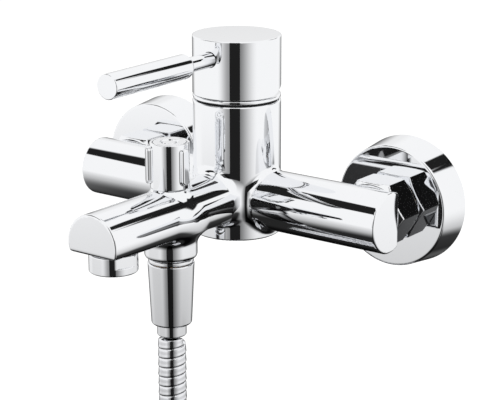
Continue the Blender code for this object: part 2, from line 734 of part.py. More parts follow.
def clamp_nut():
    """The ring nut that holds the cartridge down, with notches for a spanner."""
    at = (0, BODY_Y, 0)
    top = NUT_Z + NUT_HEIGHT
    hole = TURNER_RADIUS + RUN + GAP
    nut = tube("cartridge_clamp_nut", NUT_THREAD_RADIUS, hole, NUT_Z, top, at, sides=40)
    reach = (NUT_THREAD_RADIUS + hole) / 2
    for k in range(SPANNER_NOTCHES):
        low = (hole - OVERCUT, -NOTCH_WIDTH / 2, top - NUT_HEIGHT / 2)
        high = (reach, NOTCH_WIDTH / 2, top + OVERCUT)
        turn = (0, 0, math.tau * k / SPANNER_NOTCHES)
        cut(nut, block(f"spanner_notch_{k}", low, high, at, turn))
    dress(nut, BRASS)


def cover_ring():
    """The bright ring between trunk and handle, centred in the trunk by its skirt."""
    skirt = TRUNK_RISE - GAP
    hole = TURNER_RADIUS + RUN + GAP
    ledge = COVER_TOP - COVER_LIP
    outline = [
        (hole, COVER_TOP),
        (COVER_RADIUS - COVER_LIP * 0.6, COVER_TOP),
        (COVER_RADIUS - COVER_LIP * 0.15, COVER_TOP - COVER_LIP * 0.25),
        (COVER_RADIUS, COVER_TOP - COVER_LIP * 0.6),
        (COVER_RADIUS, ledge),
        (NUT_THREAD_RADIUS, ledge),
        (NUT_THREAD_RADIUS, skirt),
        (hole, skirt),
    ]
    chrome(turned("cover_ring", outline, (0, BODY_Y, 0), sides=48, ring=True))


def turner(axle):
    """The piece that the lever turns: a slotted drum on a flange, with the pivot pin."""
    at = (0, BODY_Y, 0)
    flange_top = TURNER_Z + TURNER_FLANGE_HEIGHT
    top = PIVOT_Z + TURNER_RISE
    outline = [
        (0, top),
        (TURNER_RADIUS, top),
        (TURNER_RADIUS, flange_top),
        (TURNER_FLANGE_RADIUS, flange_top),
        (TURNER_FLANGE_RADIUS, TURNER_Z),
        (0, TURNER_Z),
    ]
    drum = turned("temperature_turner", outline, at, sides=40)
    half = STEM_SIDE / 2
    swing = (PIVOT_Z - TURNER_Z) * math.sin(LIFT_RANGE)
    rise = TURNER_RISE * math.sin(LIFT_RANGE)
    low = (-half - RUN, -swing - half / 2, TURNER_Z - OVERCUT)
    high = (half + RUN, half / math.cos(LIFT_RANGE) + rise + RUN, top + OVERCUT)
    slot = block("stem_slot", low, high, at)
    travel = DISC_ARM * LIFT_RANGE
    wide = CARRIER_BOSS_RADIUS + RUN
    low = (-wide, -wide - travel, TURNER_Z - OVERCUT)
    high = (wide, wide, flange_top - GAP)
    boss_room = block("boss_slot", low, high, at)
    reach = TURNER_RADIUS + OVERCUT
    spot = (0, BODY_Y, PIVOT_Z)
    eye = rod("pin_hole", PIN_RADIUS + GAP, -reach, reach, spot, ALONG_X, 20)
    dress(cut(drum, slot, boss_room, eye), PLASTIC, axle)
    length = TURNER_RADIUS - RUN
    pin = rod("lever_pivot_pin", PIN_RADIUS, -length, length, spot, ALONG_X, 20)
    dress(pin, STEEL, axle)


def moving_disc(slider):
    """The upper disc, hollowed underneath to join the ports, and its carrier."""
    at = (0, BODY_Y, 0)
    top = MOVING_DISC_Z + DISC_HEIGHT
    disc = rod("moving_ceramic_disc", MOVING_DISC_RADIUS, MOVING_DISC_Z, top, at, sides=40)
    low = (-POCKET_HALF, POCKET_START, MOVING_DISC_Z - OVERCUT)
    high = (POCKET_HALF, POCKET_END, MOVING_DISC_Z + DISC_HEIGHT / 2)
    dress(cut(disc, block("mixing_pocket", low, high, at)), CERAMIC, slider)
    plate_top = CARRIER_Z + CARRIER_PLATE
    outline = [
        (0, CARRIER_TOP),
        (CARRIER_BOSS_RADIUS, CARRIER_TOP),
        (CARRIER_BOSS_RADIUS, plate_top),
        (MOVING_DISC_RADIUS, plate_top),
        (MOVING_DISC_RADIUS, CARRIER_Z),
        (0, CARRIER_Z),
    ]
    carrier = turned("disc_carrier", outline, at, sides=40)
    wide = STEM_BLADE_WIDTH / 2 + RUN
    deep = FOOT_RADIUS + RUN / 2
    low = (-wide, -deep, FOOT_Z - FOOT_RADIUS - RUN)
    high = (wide, deep, CARRIER_TOP + OVERCUT)
    dress(cut(carrier, block("foot_pocket", low, high, at)), PLASTIC, slider)


def lever_stem(pivot):
    """The stem: round foot, blade, hub on the pin and a square that fits the handle."""
    at = (0, BODY_Y, 0)
    half = STEM_SIDE / 2
    top = CAP_Z + CAP_BORE_DEPTH + SOCKET_DEPTH - GAP
    stem = block("lever_stem", (-half, -half, PIVOT_Z), (half, half, top), at)
    wide = STEM_BLADE_WIDTH / 2
    thin = FOOT_RADIUS * 0.7
    blade = block("stem_blade", (-wide, -thin, FOOT_Z), (wide, thin, PIVOT_Z), at)
    foot = rod("stem_foot", FOOT_RADIUS, -wide, wide, (0, BODY_Y, FOOT_Z), ALONG_X, 20)
    hub = rod("stem_hub", half, -half, half, (0, BODY_Y, PIVOT_Z), ALONG_X, 24)
    reach = half + OVERCUT
    eye = rod("stem_eye", PIN_RADIUS + GAP, -reach, reach, (0, BODY_Y, PIVOT_Z), ALONG_X, 20)
    dress(cut(fuse(stem, hub, blade, foot), eye), STEEL, pivot)


def handle_cap(pivot):
    """The handle: a capped cylinder, cut away behind so that it can tilt back."""
    at = (0, BODY_Y, 0)
    roof = CAP_Z + CAP_BORE_DEPTH
    outline = [
        (0, CAP_TOP),
        (CAP_RADIUS - CAP_EDGE, CAP_TOP),
        (CAP_RADIUS, CAP_TOP - CAP_EDGE),
        (CAP_RADIUS, CAP_Z),
        (CAP_BORE, CAP_Z),
        (CAP_BORE, roof),
        (0, roof),
    ]
    cap = turned("handle_cap", outline, at, sides=48)
    wide = 2 * CAP_RADIUS
    plane = COVER_TOP - PIVOT_Z + GAP
    low, high = (-wide, -wide, -CAP_RADIUS), (wide, wide, plane)
    away = block("tilt_relief", low, high, (0, BODY_Y, PIVOT_Z), (LIFT_RANGE, 0, 0))
    side = STEM_SIDE / 2 + GAP
    socket = block(
        "stem_socket", (-side, -side, roof - OVERCUT), (side, side, roof + SOCKET_DEPTH), at
    )
    spot = (0, BODY_Y, LEVER_Z)
    deep, out = CAP_RADIUS - NECK_SEAT, CAP_RADIUS + OVERCUT
    neck = rod("neck_hole", NECK_RADIUS + GAP, deep, out, spot, FORWARD, 32)
    spot = (0, BODY_Y, SCREW_Z)
    thread = rod("set_screw_hole", SET_SCREW_RADIUS + GAP, 0, out, spot, BACKWARD, 20)
    recess = CAP_RADIUS - PLUG_DEPTH - GAP
    seat = rod("plug_seat", PLUG_RADIUS + GAP, recess, out, spot, BACKWARD, 24)
    chrome(cut(cap, away, socket, neck, thread, seat), pivot)


def lever(pivot):
    """Neck and grip of the lever, and the handle's set screw behind its plug."""
    spot = (0, BODY_Y, LEVER_Z)
    start = CAP_RADIUS - NECK_SEAT + GAP
    shoulder = CAP_RADIUS + NECK_LENGTH
    thread_end = shoulder + GRIP_THREAD_LENGTH
    outline = [
        (0, thread_end),
        (GRIP_THREAD, thread_end),
        (GRIP_THREAD, shoulder),
        (NECK_RADIUS, shoulder),
        (NECK_RADIUS, start),
        (0, start),
    ]
    chrome(turned("lever_neck", outline, spot, FORWARD, 32), pivot)
    rear = shoulder + GAP
    end = rear + GRIP_LENGTH
    outline = [
        (0, end),
        (GRIP_RADIUS - GRIP_EDGE, end),
        (GRIP_RADIUS, end - GRIP_EDGE),
        (GRIP_RADIUS, rear + GRIP_TAPER),
        (GRIP_RADIUS - GRIP_TAPER / 2, rear),
        (GRIP_THREAD + GAP, rear),
        (GRIP_THREAD + GAP, thread_end + GAP),
        (0, thread_end + GAP),
    ]
    chrome(turned("lever_grip", outline, spot, FORWARD, 40), pivot)
    spot = (0, BODY_Y, SCREW_Z)
    tip = STEM_SIDE / 2 + GAP
    head = CAP_RADIUS - PLUG_DEPTH - 2 * GAP
    screw = rod("handle_set_screw", SET_SCREW_RADIUS, tip, head, spot, BACKWARD, 20)
    key = prism("set_screw_key", SET_SCREW_RADIUS, head - OVERCUT, head + OVERCUT, 6, spot, BACKWARD)
    dress(cut(screw, key), STEEL, pivot)
    low = CAP_RADIUS - PLUG_DEPTH
    plug = rod("set_screw_plug", PLUG_RADIUS, low, low + PLUG_DEPTH - GAP, spot, BACKWARD, 24)
    dress(plug, PLASTIC, pivot)


def double_flat(name, radius, flats, low, high):
    """A round bar on the diverter's axis with two flats, for the knob's drive."""
    at = (0, DIVERTER_Y, 0)
    bar = rod(name, radius, low, high, at, sides=24)
    reach = radius + OVERCUT
    for side in (-1, 1):
        edge, far = side * flats / 2, side * reach
        corner = (min(edge, far), -reach, low - OVERCUT)
        other = (max(edge, far), reach, high + OVERCUT)
        cut(bar, block(f"{name}_flat_{side + 1}", corner, other, at))
    return bar


def half_groove():
    """The half ring cut round the rotor, which leads water past it to the spout."""
    name = "rotor_groove"
    mesh = bpy.data.meshes.new(name)
    shape = bmesh.new()
    outer = DIVERTER_BORE + OVERCUT
    inner = DIVERTER_BORE - GAP - GROOVE_DEPTH
    low, high = CHANNEL_Z - GROOVE_HEIGHT / 2, CHANNEL_Z + GROOVE_HEIGHT / 2
    corners = ((inner, low), (outer, low), (outer, high), (inner, high))
    face = shape.faces.new([shape.verts.new((0, r, z)) for r, z in corners])
    bmesh.ops.spin(
        shape, geom=[face, *face.edges, *face.verts], cent=(0, 0, 0), axis=(0, 0, 1),
        angle=math.pi, steps=16, use_merge=False,
    )
    bmesh.ops.remove_doubles(shape, verts=shape.verts, dist=SEAT / 10)
    bmesh.ops.recalc_face_normals(shape, faces=shape.faces)
    shape.to_mesh(mesh)
    shape.free()
    return link(name, mesh, (0, DIVERTER_Y, 0))


def diverter(axle):
    """The rotary diverter: bonnet, O-ring, rotor, and its knob, screw and disc."""
    at = (0, DIVERTER_Y, 0)
    hole = SHAFT_RADIUS + GAP
    bonnet_z = ROTOR_RISE + GAP
    bonnet = [
        (BONNET_COLLAR_RADIUS, COLLAR_TOP),
        (BONNET_COLLAR_RADIUS, BOSS_TOP),
        (DIVERTER_BORE - GAP, BOSS_TOP),
        (DIVERTER_BORE - GAP, bonnet_z),
        (hole, bonnet_z),
        (hole, BONNET_GROOVE_Z),
        (BONNET_GROOVE_RADIUS, BONNET_GROOVE_Z),
        (BONNET_GROOVE_RADIUS, BONNET_GROOVE_Z + BONNET_GROOVE),
        (hole, BONNET_GROOVE_Z + BONNET_GROOVE),
        (hole, COLLAR_TOP),
    ]
    dress(turned("diverter_bonnet", bonnet, at, sides=24, ring=True), BRASS)
    wire = (BONNET_GROOVE - 2 * GAP) / 2
    radius = BONNET_GROOVE_RADIUS - GAP - wire
    spot = (0, DIVERTER_Y, BONNET_GROOVE_Z + BONNET_GROOVE / 2)
    dress(o_ring("diverter_o_ring", radius, wire, spot), RUBBER)

    body = DIVERTER_BORE - GAP
    outline = [
        (0, COLLAR_TOP),
        (SHAFT_RADIUS, COLLAR_TOP),
        (SHAFT_RADIUS, ROTOR_RISE),
        (body, ROTOR_RISE),
        (body, -ROTOR_DROP),
        (ROTOR_CORE, -ROTOR_DROP),
        (ROTOR_CORE, ROTOR_RISE - ROTOR_ROOF),
        (0, ROTOR_RISE - ROTOR_ROOF),
    ]
    rotor = turned("diverter_rotor", outline, at, sides=28)
    drive = double_flat("rotor_drive", SHAFT_RADIUS, SHAFT_FLATS, COLLAR_TOP - EDGE, SHAFT_TOP)
    fuse(rotor, drive)
    window = drilled(
        "rotor_window",
        WINDOW_RADIUS,
        (0, DIVERTER_Y, CHANNEL_Z),
        (DIVERTER_BORE + OVERCUT, DIVERTER_Y, CHANNEL_Z),
    )
    thread = rod("rotor_thread", KNOB_SCREW_RADIUS + GAP, KNOB_SCREW_TIP - GAP, SHAFT_TOP + OVERCUT, at)
    dress(cut(rotor, half_groove(), window, thread), BRASS, axle)

    inside = KNOB_RADIUS - KNOB_WALL
    recess = KNOB_TOP - KNOB_DISC_THICKNESS - GAP
    rim = KNOB_DISC_RADIUS + GAP
    outline = [
        (0, recess),
        (rim, recess),
        (rim, KNOB_TOP),
        (KNOB_RADIUS - KNOB_EDGE, KNOB_TOP),
        (KNOB_RADIUS, KNOB_TOP - KNOB_EDGE),
        (KNOB_RADIUS, KNOB_Z + KNOB_EDGE),
        (KNOB_RADIUS - KNOB_EDGE, KNOB_Z),
        (inside, KNOB_Z),
        (inside, KNOB_CAVITY_TOP),
        (0, KNOB_CAVITY_TOP),
    ]
    knob = turned("diverter_knob", outline, at, sides=40)
    for k in range(GRIP_PADS):
        fuse(knob, grip_pad(k))
    drive = double_flat(
        "knob_drive",
        SHAFT_RADIUS + GAP,
        SHAFT_FLATS + 2 * GAP,
        KNOB_CAVITY_TOP - OVERCUT,
        SHAFT_TOP + GAP,
    )
    passage = rod("knob_screw_hole", KNOB_SCREW_RADIUS + GAP, SHAFT_TOP, recess, at, sides=20)
    head = rod("knob_screw_seat", KNOB_SCREW_HEAD + GAP, SCREW_SEAT, recess + OVERCUT, at, sides=24)
    chrome(cut(knob, drive, passage, head), axle)

    under = SCREW_SEAT + GAP
    outline = [
        (0, under + KNOB_SCREW_HEAD * 0.7),
        (KNOB_SCREW_HEAD, under + KNOB_SCREW_HEAD * 0.7),
        (KNOB_SCREW_HEAD, under),
        (KNOB_SCREW_RADIUS, under),
        (KNOB_SCREW_RADIUS, KNOB_SCREW_TIP),
        (0, KNOB_SCREW_TIP),
    ]
    dress(turned("diverter_knob_screw", outline, at, sides=20), STEEL, axle)
    disc = rod("diverter_knob_disc", KNOB_DISC_RADIUS, recess + GAP, KNOB_TOP, at, sides=40)
    chrome(disc, axle)


def grip_pad(index):
    """One raised grip on the knob's side, rounded all over."""
    middle = (KNOB_Z + KNOB_TOP) / 2 + GRIP_PAD_LIFT
    half = GRIP_PAD_WIDTH / 2
    low = (KNOB_RADIUS - KNOB_WALL / 2, -half, middle - GRIP_PAD_HEIGHT / 2)
    high = (KNOB_RADIUS + GRIP_PAD_PROUD, half, middle + GRIP_PAD_HEIGHT / 2)
    turn = (0, 0, FIRST_GRIP_PAD + math.tau * index / GRIP_PADS)
    pad = block(f"grip_pad_{index}", low, high, (0, DIVERTER_Y, 0), turn)
    round_off = pad.modifiers.new("rounded", "BEVEL")
    round_off.width = GRIP_PAD_PROUD * 0.8
    round_off.segments = 2
    return pad


def aerator():
    """The aerator: its screwed housing with two wrench flats, its insert and washer."""
    at = (0, AERATOR_Y, 0)
    outline = [
        (AERATOR_THREAD, AERATOR_THREAD_TOP),
        (AERATOR_THREAD, AERATOR_TOP),
        (AERATOR_RADIUS, AERATOR_TOP),
        (AERATOR_RADIUS, AERATOR_FOOT + EDGE),
        (AERATOR_RADIUS - EDGE, AERATOR_FOOT),
        (AERATOR_LIP, AERATOR_FOOT),
        (AERATOR_LIP, AERATOR_FOOT + AERATOR_LEDGE),
        (AERATOR_BORE, AERATOR_FOOT + AERATOR_LEDGE),
        (AERATOR_BORE, AERATOR_THREAD_TOP),
    ]
    housing = turned("aerator_housing", outline, at, sides=40, ring=True)
    for side in (-1, 1):
        near, far = side * WRENCH_FLAT, side * (AERATOR_RADIUS + OVERCUT)
        low = (min(near, far), -AERATOR_RADIUS, AERATOR_FOOT - OVERCUT)
        high = (max(near, far), AERATOR_RADIUS, AERATOR_FOOT + WRENCH_FLAT_HEIGHT)
        cut(housing, block(f"wrench_flat_{side + 1}", low, high, at, (0, 0, WRENCH_FLAT_TURN)))
    chrome(housing)
    low = AERATOR_FOOT + AERATOR_LEDGE + GAP
    top = AERATOR_THREAD_TOP - GAP
    insert = rod("aerator_insert", AERATOR_BORE - GAP, low, top, at, sides=32)
    for k in range(INSERT_HOLES):
        turn = math.tau * k / INSERT_HOLES
        spot = (INSERT_RING * math.cos(turn), AERATOR_Y + INSERT_RING * math.sin(turn), 0)
        cut(insert, rod(f"insert_hole_{k}", INSERT_HOLE, low - OVERCUT, top + OVERCUT, spot, sides=12))
    dress(insert, PLASTIC)
    low = AERATOR_THREAD_TOP + GAP
    washer = tube("aerator_washer", AERATOR_THREAD, AERATOR_LIP, low, low + AERATOR_WASHER, at)
    dress(washer, RUBBER)


def shower_outlet(slider):
    """The shower outlet: nipple, its ring, and the non-return valve inside it."""
    at = (0, DIVERTER_Y, 0)
    nipple = [
        (NIPPLE_SEAT_RADIUS, NIPPLE_TOP),
        (NIPPLE_SEAT_RADIUS, NUT_TOP_Z),
        (NIPPLE_THREAD, NUT_TOP_Z),
        (NIPPLE_THREAD, NIPPLE_FOOT),
        (NIPPLE_BORE, NIPPLE_FOOT),
        (NIPPLE_BORE, NIPPLE_TOP),
    ]
    dress(turned("shower_outlet_nipple", nipple, at, sides=28, ring=True), BRASS)
    ring = tube(
        "shower_outlet_ring", RING_RADIUS, NIPPLE_SEAT_RADIUS + GAP, RING_Z, RING_Z + RING_HEIGHT, at,
        sides=40,
    )
    dress(ring, RUBBER)

    radius = NIPPLE_BORE - GAP
    seat_top = NIPPLE_TOP - GAP
    seat_low = seat_top - VALVE_SEAT_HEIGHT
    seat = tube("check_valve_seat", radius, VALVE_SEAT_BORE, seat_low, seat_top, at, sides=24)
    dress(seat, PLASTIC)
    disc_top = seat_low - GAP
    disc_low = disc_top - POPPET_THICKNESS
    spring_top = disc_low - GAP
    guide_top = spring_top - SPRING_LENGTH - GAP
    stem_low = guide_top - GUIDE_HEIGHT - POPPET_STEM
    outline = [
        (0, disc_top),
        (POPPET_RADIUS, disc_top),
        (POPPET_RADIUS, disc_low),
        (POPPET_STEM, disc_low),
        (POPPET_STEM, stem_low),
        (0, stem_low),
    ]
    dress(turned("check_valve_poppet", outline, at, sides=24), PLASTIC, slider)

    low = guide_top - GUIDE_HEIGHT
    hub = POPPET_STEM + GAP
    guide = tube("check_valve_guide", radius, radius - GUIDE_WALL, low, guide_top, at, sides=24)
    hub_ring = rod("guide_hub", hub + GUIDE_WALL, low, guide_top, at, sides=20)
    bars = [
        block(
            f"guide_bar_{k}",
            (0, -GUIDE_WALL / 2, low + GAP),
            (radius - GUIDE_WALL / 2, GUIDE_WALL / 2, guide_top - GAP),
            at,
            (0, 0, math.tau * k / GUIDE_BARS),
        )
        for k in range(GUIDE_BARS)
    ]
    fuse(guide, hub_ring, *bars)
    cut(guide, rod("guide_hole", hub, low - OVERCUT, guide_top + OVERCUT, at, sides=20))
    dress(guide, PLASTIC)
    dress(valve_spring(guide_top + GAP, spring_top), STEEL, slider)


def wire_curve(name, points, radius, resolution, place=(0, 0, 0)):
    """A round wire, hose or tube through a list of points."""
    curve = bpy.data.curves.new(name, "CURVE")
    curve.dimensions = "3D"
    curve.bevel_depth = radius
    curve.bevel_resolution = resolution
    curve.use_fill_caps = True
    spline = curve.splines.new("POLY")
    spline.points.add(len(points) - 1)
    for point, place_at in zip(spline.points, points):
        point.co = (*place_at, 1.0)
    item = bpy.data.objects.new(name, curve)
    PARTS.objects.link(item)
    item.location = place
    return item


def valve_spring(low, high):
    """The non-return valve's coil spring."""
    count = SPRING_TURNS * SPRING_STEPS
    bottom, top = low + SPRING_WIRE, high - SPRING_WIRE
    points = [
        (
            SPRING_RADIUS * math.cos(math.tau * k / SPRING_STEPS),
            SPRING_RADIUS * math.sin(math.tau * k / SPRING_STEPS),
            bottom + (top - bottom) * k / count,
        )
        for k in range(count + 1)
    ]
    return wire_curve("check_valve_spring", points, SPRING_WIRE, 1, (0, DIVERTER_Y, 0))


def nut_outline(top):
    """A conical hose nut's outline, its wide threaded end at this height."""
    low = top - HOSE_NUT_LENGTH
    shoulder = top - NIPPLE_THREAD_LENGTH - HOSE_WASHER - FERRULE_FLANGE - 3 * GAP
    curve = [
        (
            HOSE_NUT_FOOT - HOSE_NUT_ROUND * (1 - math.cos(t)),
            low + HOSE_NUT_ROUND * (1 - math.sin(t)),
        )
        for t in (math.pi / 2 * k / 4 for k in range(5))
    ]
    return [
        (HOSE_NUT_TOP - EDGE / 2, top),
        (HOSE_NUT_TOP, top - EDGE / 2),
        *curve,
        (FERRULE_RADIUS + GAP, low),
        (FERRULE_RADIUS + GAP, shoulder),
        (NIPPLE_THREAD + GAP, shoulder),
        (NIPPLE_THREAD + GAP, top),
    ]


def ferrule_outline(top):
    """A ferrule's outline: flange under the washer, sleeve down to the hose."""
    low = top - (FERRULE_TOP - FERRULE_Z)
    return [
        (FERRULE_FLANGE_RADIUS, top),
        (FERRULE_FLANGE_RADIUS, top - FERRULE_FLANGE),
        (FERRULE_RADIUS, top - FERRULE_FLANGE),
        (FERRULE_RADIUS, low),
        (FERRULE_BORE, low),
        (FERRULE_BORE, top),
    ]


def hose_fittings():
    """The nut, washer and ferrule that hold the hose to the mixer."""
    at = (0, DIVERTER_Y, 0)
    washer = tube(
        "hose_washer", FERRULE_FLANGE_RADIUS, NIPPLE_BORE, WASHER_Z, WASHER_Z + HOSE_WASHER, at
    )
    dress(washer, RUBBER)
    chrome(turned("hose_nut", nut_outline(NUT_TOP_Z), at, sides=36, ring=True))
    chrome(turned("hose_ferrule", ferrule_outline(FERRULE_TOP), at, sides=28, ring=True))


def smooth_route(route, steps):
    """Points read from a Catmull-Rom curve through the route's own points."""
    ends = [2 * route[0] - route[1], *route, 2 * route[-1] - route[-2]]
    points = []
    for a, b, c, d in zip(ends, ends[1:], ends[2:], ends[3:]):
        for k in range(steps):
            t = k / steps
            bend = (2 * a - 5 * b + 4 * c - d) * t * t + (3 * b - a - 3 * c + d) * t * t * t
            points.append(b + (c - a) * (t / 2) + bend / 2)
    return [*points, route[-1]]


def hose():
    """The hose's plain solids: lead, coil and tail, with its far fittings and ties."""
    whole = [Vector((x * MM, DIVERTER_Y, HOSE_TOP - drop * MM)) for x, drop in LEAD_ROUTE]
    lead = smooth_route(whole, 2)[: 2 * LEAD_END + 1]
    dress(wire_curve("hose_lead", lead, HOSE_RADIUS, 3), SPIRAL)

    sweep = COIL_START + math.tau * COIL_TURNS
    last_y = DIVERTER_Y + COIL_PITCH * sweep / math.tau
    near, far = DIVERTER_Y - HOSE_RADIUS, last_y + HOSE_RADIUS
    inner, outer = COIL_RADIUS - HOSE_RADIUS, COIL_RADIUS + HOSE_RADIUS
    outline = [
        (inner + EDGE, -near),
        (outer - EDGE, -near),
        (outer, -near - EDGE),
        (outer, -far + EDGE),
        (outer - EDGE, -far),
        (inner + EDGE, -far),
        (inner, -far + EDGE),
        (inner, -near - EDGE),
    ]
    centre = (0, 0, COIL_Z)
    coil = turned("hose_coil", outline, centre, FORWARD, 48, ring=True)
    dress(coil, SPIRAL)

    bend = (LEAD_ROUTE_LENGTH, COIL_RADIUS * sweep)
    tail = HOSE_LENGTH - sum(bend)
    top, low = COIL_Z - TAIL_CLEAR, COIL_Z - tail
    points = [Vector((COIL_RADIUS, last_y, low + (top - low) * k / 4)) for k in range(4, -1, -1)]
    dress(wire_curve("hose_tail", points, HOSE_RADIUS, 3), SPIRAL)

    end = (COIL_RADIUS, last_y, 0)
    sleeve = FERRULE_TOP - FERRULE_Z
    flange = GAP + sleeve - low
    turn = (math.pi, 0, 0)
    ferrule = ferrule_outline(flange)
    chrome(turned("hose_end_ferrule", ferrule, end, turn, 32, ring=True))
    rim = flange + GAP + HOSE_WASHER + GAP + NIPPLE_THREAD_LENGTH
    chrome(turned("hose_end_nut", nut_outline(rim), end, turn, 28, ring=True))
    for index, angle in enumerate(TIE_ANGLES):
        coil_tie(index, angle, (inner, outer), (near, far))


def coil_tie(index, angle, radii, sides):
    """A strap round the coil's section, at this angle round the coil."""
    grow = TIE_SLACK + TIE_THICKNESS
    half = TIE_WIDTH / 2
    turn = (0, -angle, 0)
    at = (0, 0, COIL_Z)
    low = (radii[0] - grow, sides[0] - grow, -half)
    high = (radii[1] + grow, sides[1] + grow, half)
    strap = block(f"coil_tie_{index + 1}", low, high, at, turn)
    low = (radii[0] - TIE_SLACK, sides[0] - TIE_SLACK, -half - OVERCUT)
    high = (radii[1] + TIE_SLACK, sides[1] + TIE_SLACK, half + OVERCUT)
    dress(cut(strap, block(f"tie_{index + 1}_hole", low, high, at, turn)), RUBBER)


def main():
    mixer_body()
    for side, hand in SIDES:
        inlet_union(side, hand)
    cartridge_fixed()
    clamp_nut()
    cover_ring()
    axle = joint("temperature_axis", (0, BODY_Y, PIVOT_Z))
    turner(axle)
    moving_disc(axle)
    pivot = joint("lift_axis", (0, BODY_Y, PIVOT_Z))
    lever_stem(pivot)
    handle_cap(pivot)
    lever(pivot)
    diverter(joint("diverter_axis", (0, DIVERTER_Y, KNOB_Z)))
    aerator()
    shower_outlet(joint("check_valve_axis", (0, DIVERTER_Y, NIPPLE_TOP)))
    hose_fittings()
    hose()


clear_scene()
PARTS = collection("bath_mixer")
TOOLS = collection("cutting_tools", hidden=True)
CHROME = material("chrome plate", (0.78, 0.79, 0.80), 1.0, 0.06)
BRASS = material("brass", (0.72, 0.55, 0.28), 1.0, 0.25)
STEEL = material("stainless steel", (0.62, 0.62, 0.63), 1.0, 0.22)
SPIRAL = material("hose spiral", (0.62, 0.62, 0.63), 1.0, 0.18)
RUBBER = material("black rubber", (0.03, 0.03, 0.03), 0.0, 0.6)
PLASTIC = material("white acetal", (0.85, 0.85, 0.82), 0.0, 0.4)
CERAMIC = material("alumina ceramic", (0.90, 0.88, 0.84), 0.0, 0.2)
main()
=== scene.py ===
"""Studio scene of a wall mounted bath mixer with its shower hose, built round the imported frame.

Every length is in metres and every place is in the frame's own axes: +X to the right, +Y into
the wall, +Z up, with the origin on the wall, midway between the two inlets.
"""

import enum
import logging
import math
from dataclasses import dataclass
from functools import cached_property
from typing import Callable, Sequence

import bpy
import numpy as np
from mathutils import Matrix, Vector


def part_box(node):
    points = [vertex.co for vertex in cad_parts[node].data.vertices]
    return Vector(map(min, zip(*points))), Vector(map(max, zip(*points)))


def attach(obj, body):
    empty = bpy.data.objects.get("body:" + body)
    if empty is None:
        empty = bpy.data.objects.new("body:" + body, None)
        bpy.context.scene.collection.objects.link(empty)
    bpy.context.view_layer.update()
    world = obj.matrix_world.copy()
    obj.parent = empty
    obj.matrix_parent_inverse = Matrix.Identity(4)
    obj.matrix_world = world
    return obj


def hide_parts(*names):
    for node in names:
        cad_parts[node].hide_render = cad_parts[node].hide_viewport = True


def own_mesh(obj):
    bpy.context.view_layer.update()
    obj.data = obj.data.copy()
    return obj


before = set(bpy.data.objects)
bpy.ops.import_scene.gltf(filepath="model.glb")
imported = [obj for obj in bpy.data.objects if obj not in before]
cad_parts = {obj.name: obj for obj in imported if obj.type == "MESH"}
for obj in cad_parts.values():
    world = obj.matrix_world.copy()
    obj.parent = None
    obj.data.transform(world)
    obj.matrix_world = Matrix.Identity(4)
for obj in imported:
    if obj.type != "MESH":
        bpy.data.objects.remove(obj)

LOG = logging.getLogger("bath_mixer")
MM = 0.001
TAU = math.tau
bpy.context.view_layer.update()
Point = tuple[float, float, float]
Grid = np.ndarray
Distance = Callable[[Grid], np.ndarray]
SHARP_FROM = math.radians(28)
FINE_STEP = 0.32  # millimetres, the cell of a small piece's net
PAST = 60.0  # millimetres, beyond every piece: where a bore that runs right through ends


# --------------------------------------------------------------------------- places


@dataclass(frozen=True)
class Layout:
    """Axes and levels that several sub-assemblies share, read off the frame."""

    inlet_x: float = 75.0 * MM
    body_y: float = -43.0 * MM
    diverter_y: float = -96.4 * MM
    tip_y: float = -153.7 * MM
    aerator_y: float = -138.7 * MM
    pivot_z: float = 50.0 * MM


PLACE = Layout()


class Axis(enum.Enum):
    """Which way a turned piece's own height points."""

    UP = "up"
    DOWN = "down"
    FORWARD = "forward"
    BACKWARD = "backward"

    def frame(self) -> tuple[np.ndarray, np.ndarray, np.ndarray]:
        """Two directions across the axis and the one along it.

        Returns:
            Three unit vectors, the last along the axis.
        """
        along = {
            Axis.UP: (0, 0, 1),
            Axis.DOWN: (0, 0, -1),
            Axis.FORWARD: (0, -1, 0),
            Axis.BACKWARD: (0, 1, 0),
        }[self]
        third = np.array(along, float)
        first = np.array((1, 0, 0) if abs(third[0]) < 0.5 else (0, 1, 0), float)
        return first, np.cross(third, first), third


# --------------------------------------------------------------------------- meshes


def grid_faces(rows: int, columns: int, wrap_rows: bool) -> np.ndarray:
    """Quads of a grid whose columns close on themselves.

    Args:
        rows: Number of rings.
        columns: Points in each ring.
        wrap_rows: Whether the last ring joins the first one.

    Returns:
        Vertex numbers, four to a face.
    """
    last = rows if wrap_rows else rows - 1
    i, j = np.meshgrid(np.arange(last), np.arange(columns), indexing="ij")
    up, side = (i + 1) % rows, (j + 1) % columns
    corners = (i * columns + j, i * columns + side, up * columns + side, up * columns + j)
    return np.stack(corners, axis=-1).reshape(-1, 4)


def fan_faces(ring: int, columns: int, pole: int) -> np.ndarray:
    """Triangles between one ring of a grid and a pole.

    Args:
        ring: The ring's number.
        columns: Points in the ring.
        pole: The pole's vertex number.

    Returns:
        Vertex numbers, three to a face.
    """
    j = np.arange(columns)
    near, far = ring * columns + j, ring * columns + (j + 1) % columns
    return np.stack((near, far, np.full(columns, pole)), axis=-1)


def faces_out(points: np.ndarray, triangles: np.ndarray) -> bool:
    """Whether a closed set of triangles encloses a positive volume."""
    a, b, c = (points[triangles[:, k]] for k in range(3))
    return float(np.einsum("ij,ij->", a, np.cross(b, c))) > 0


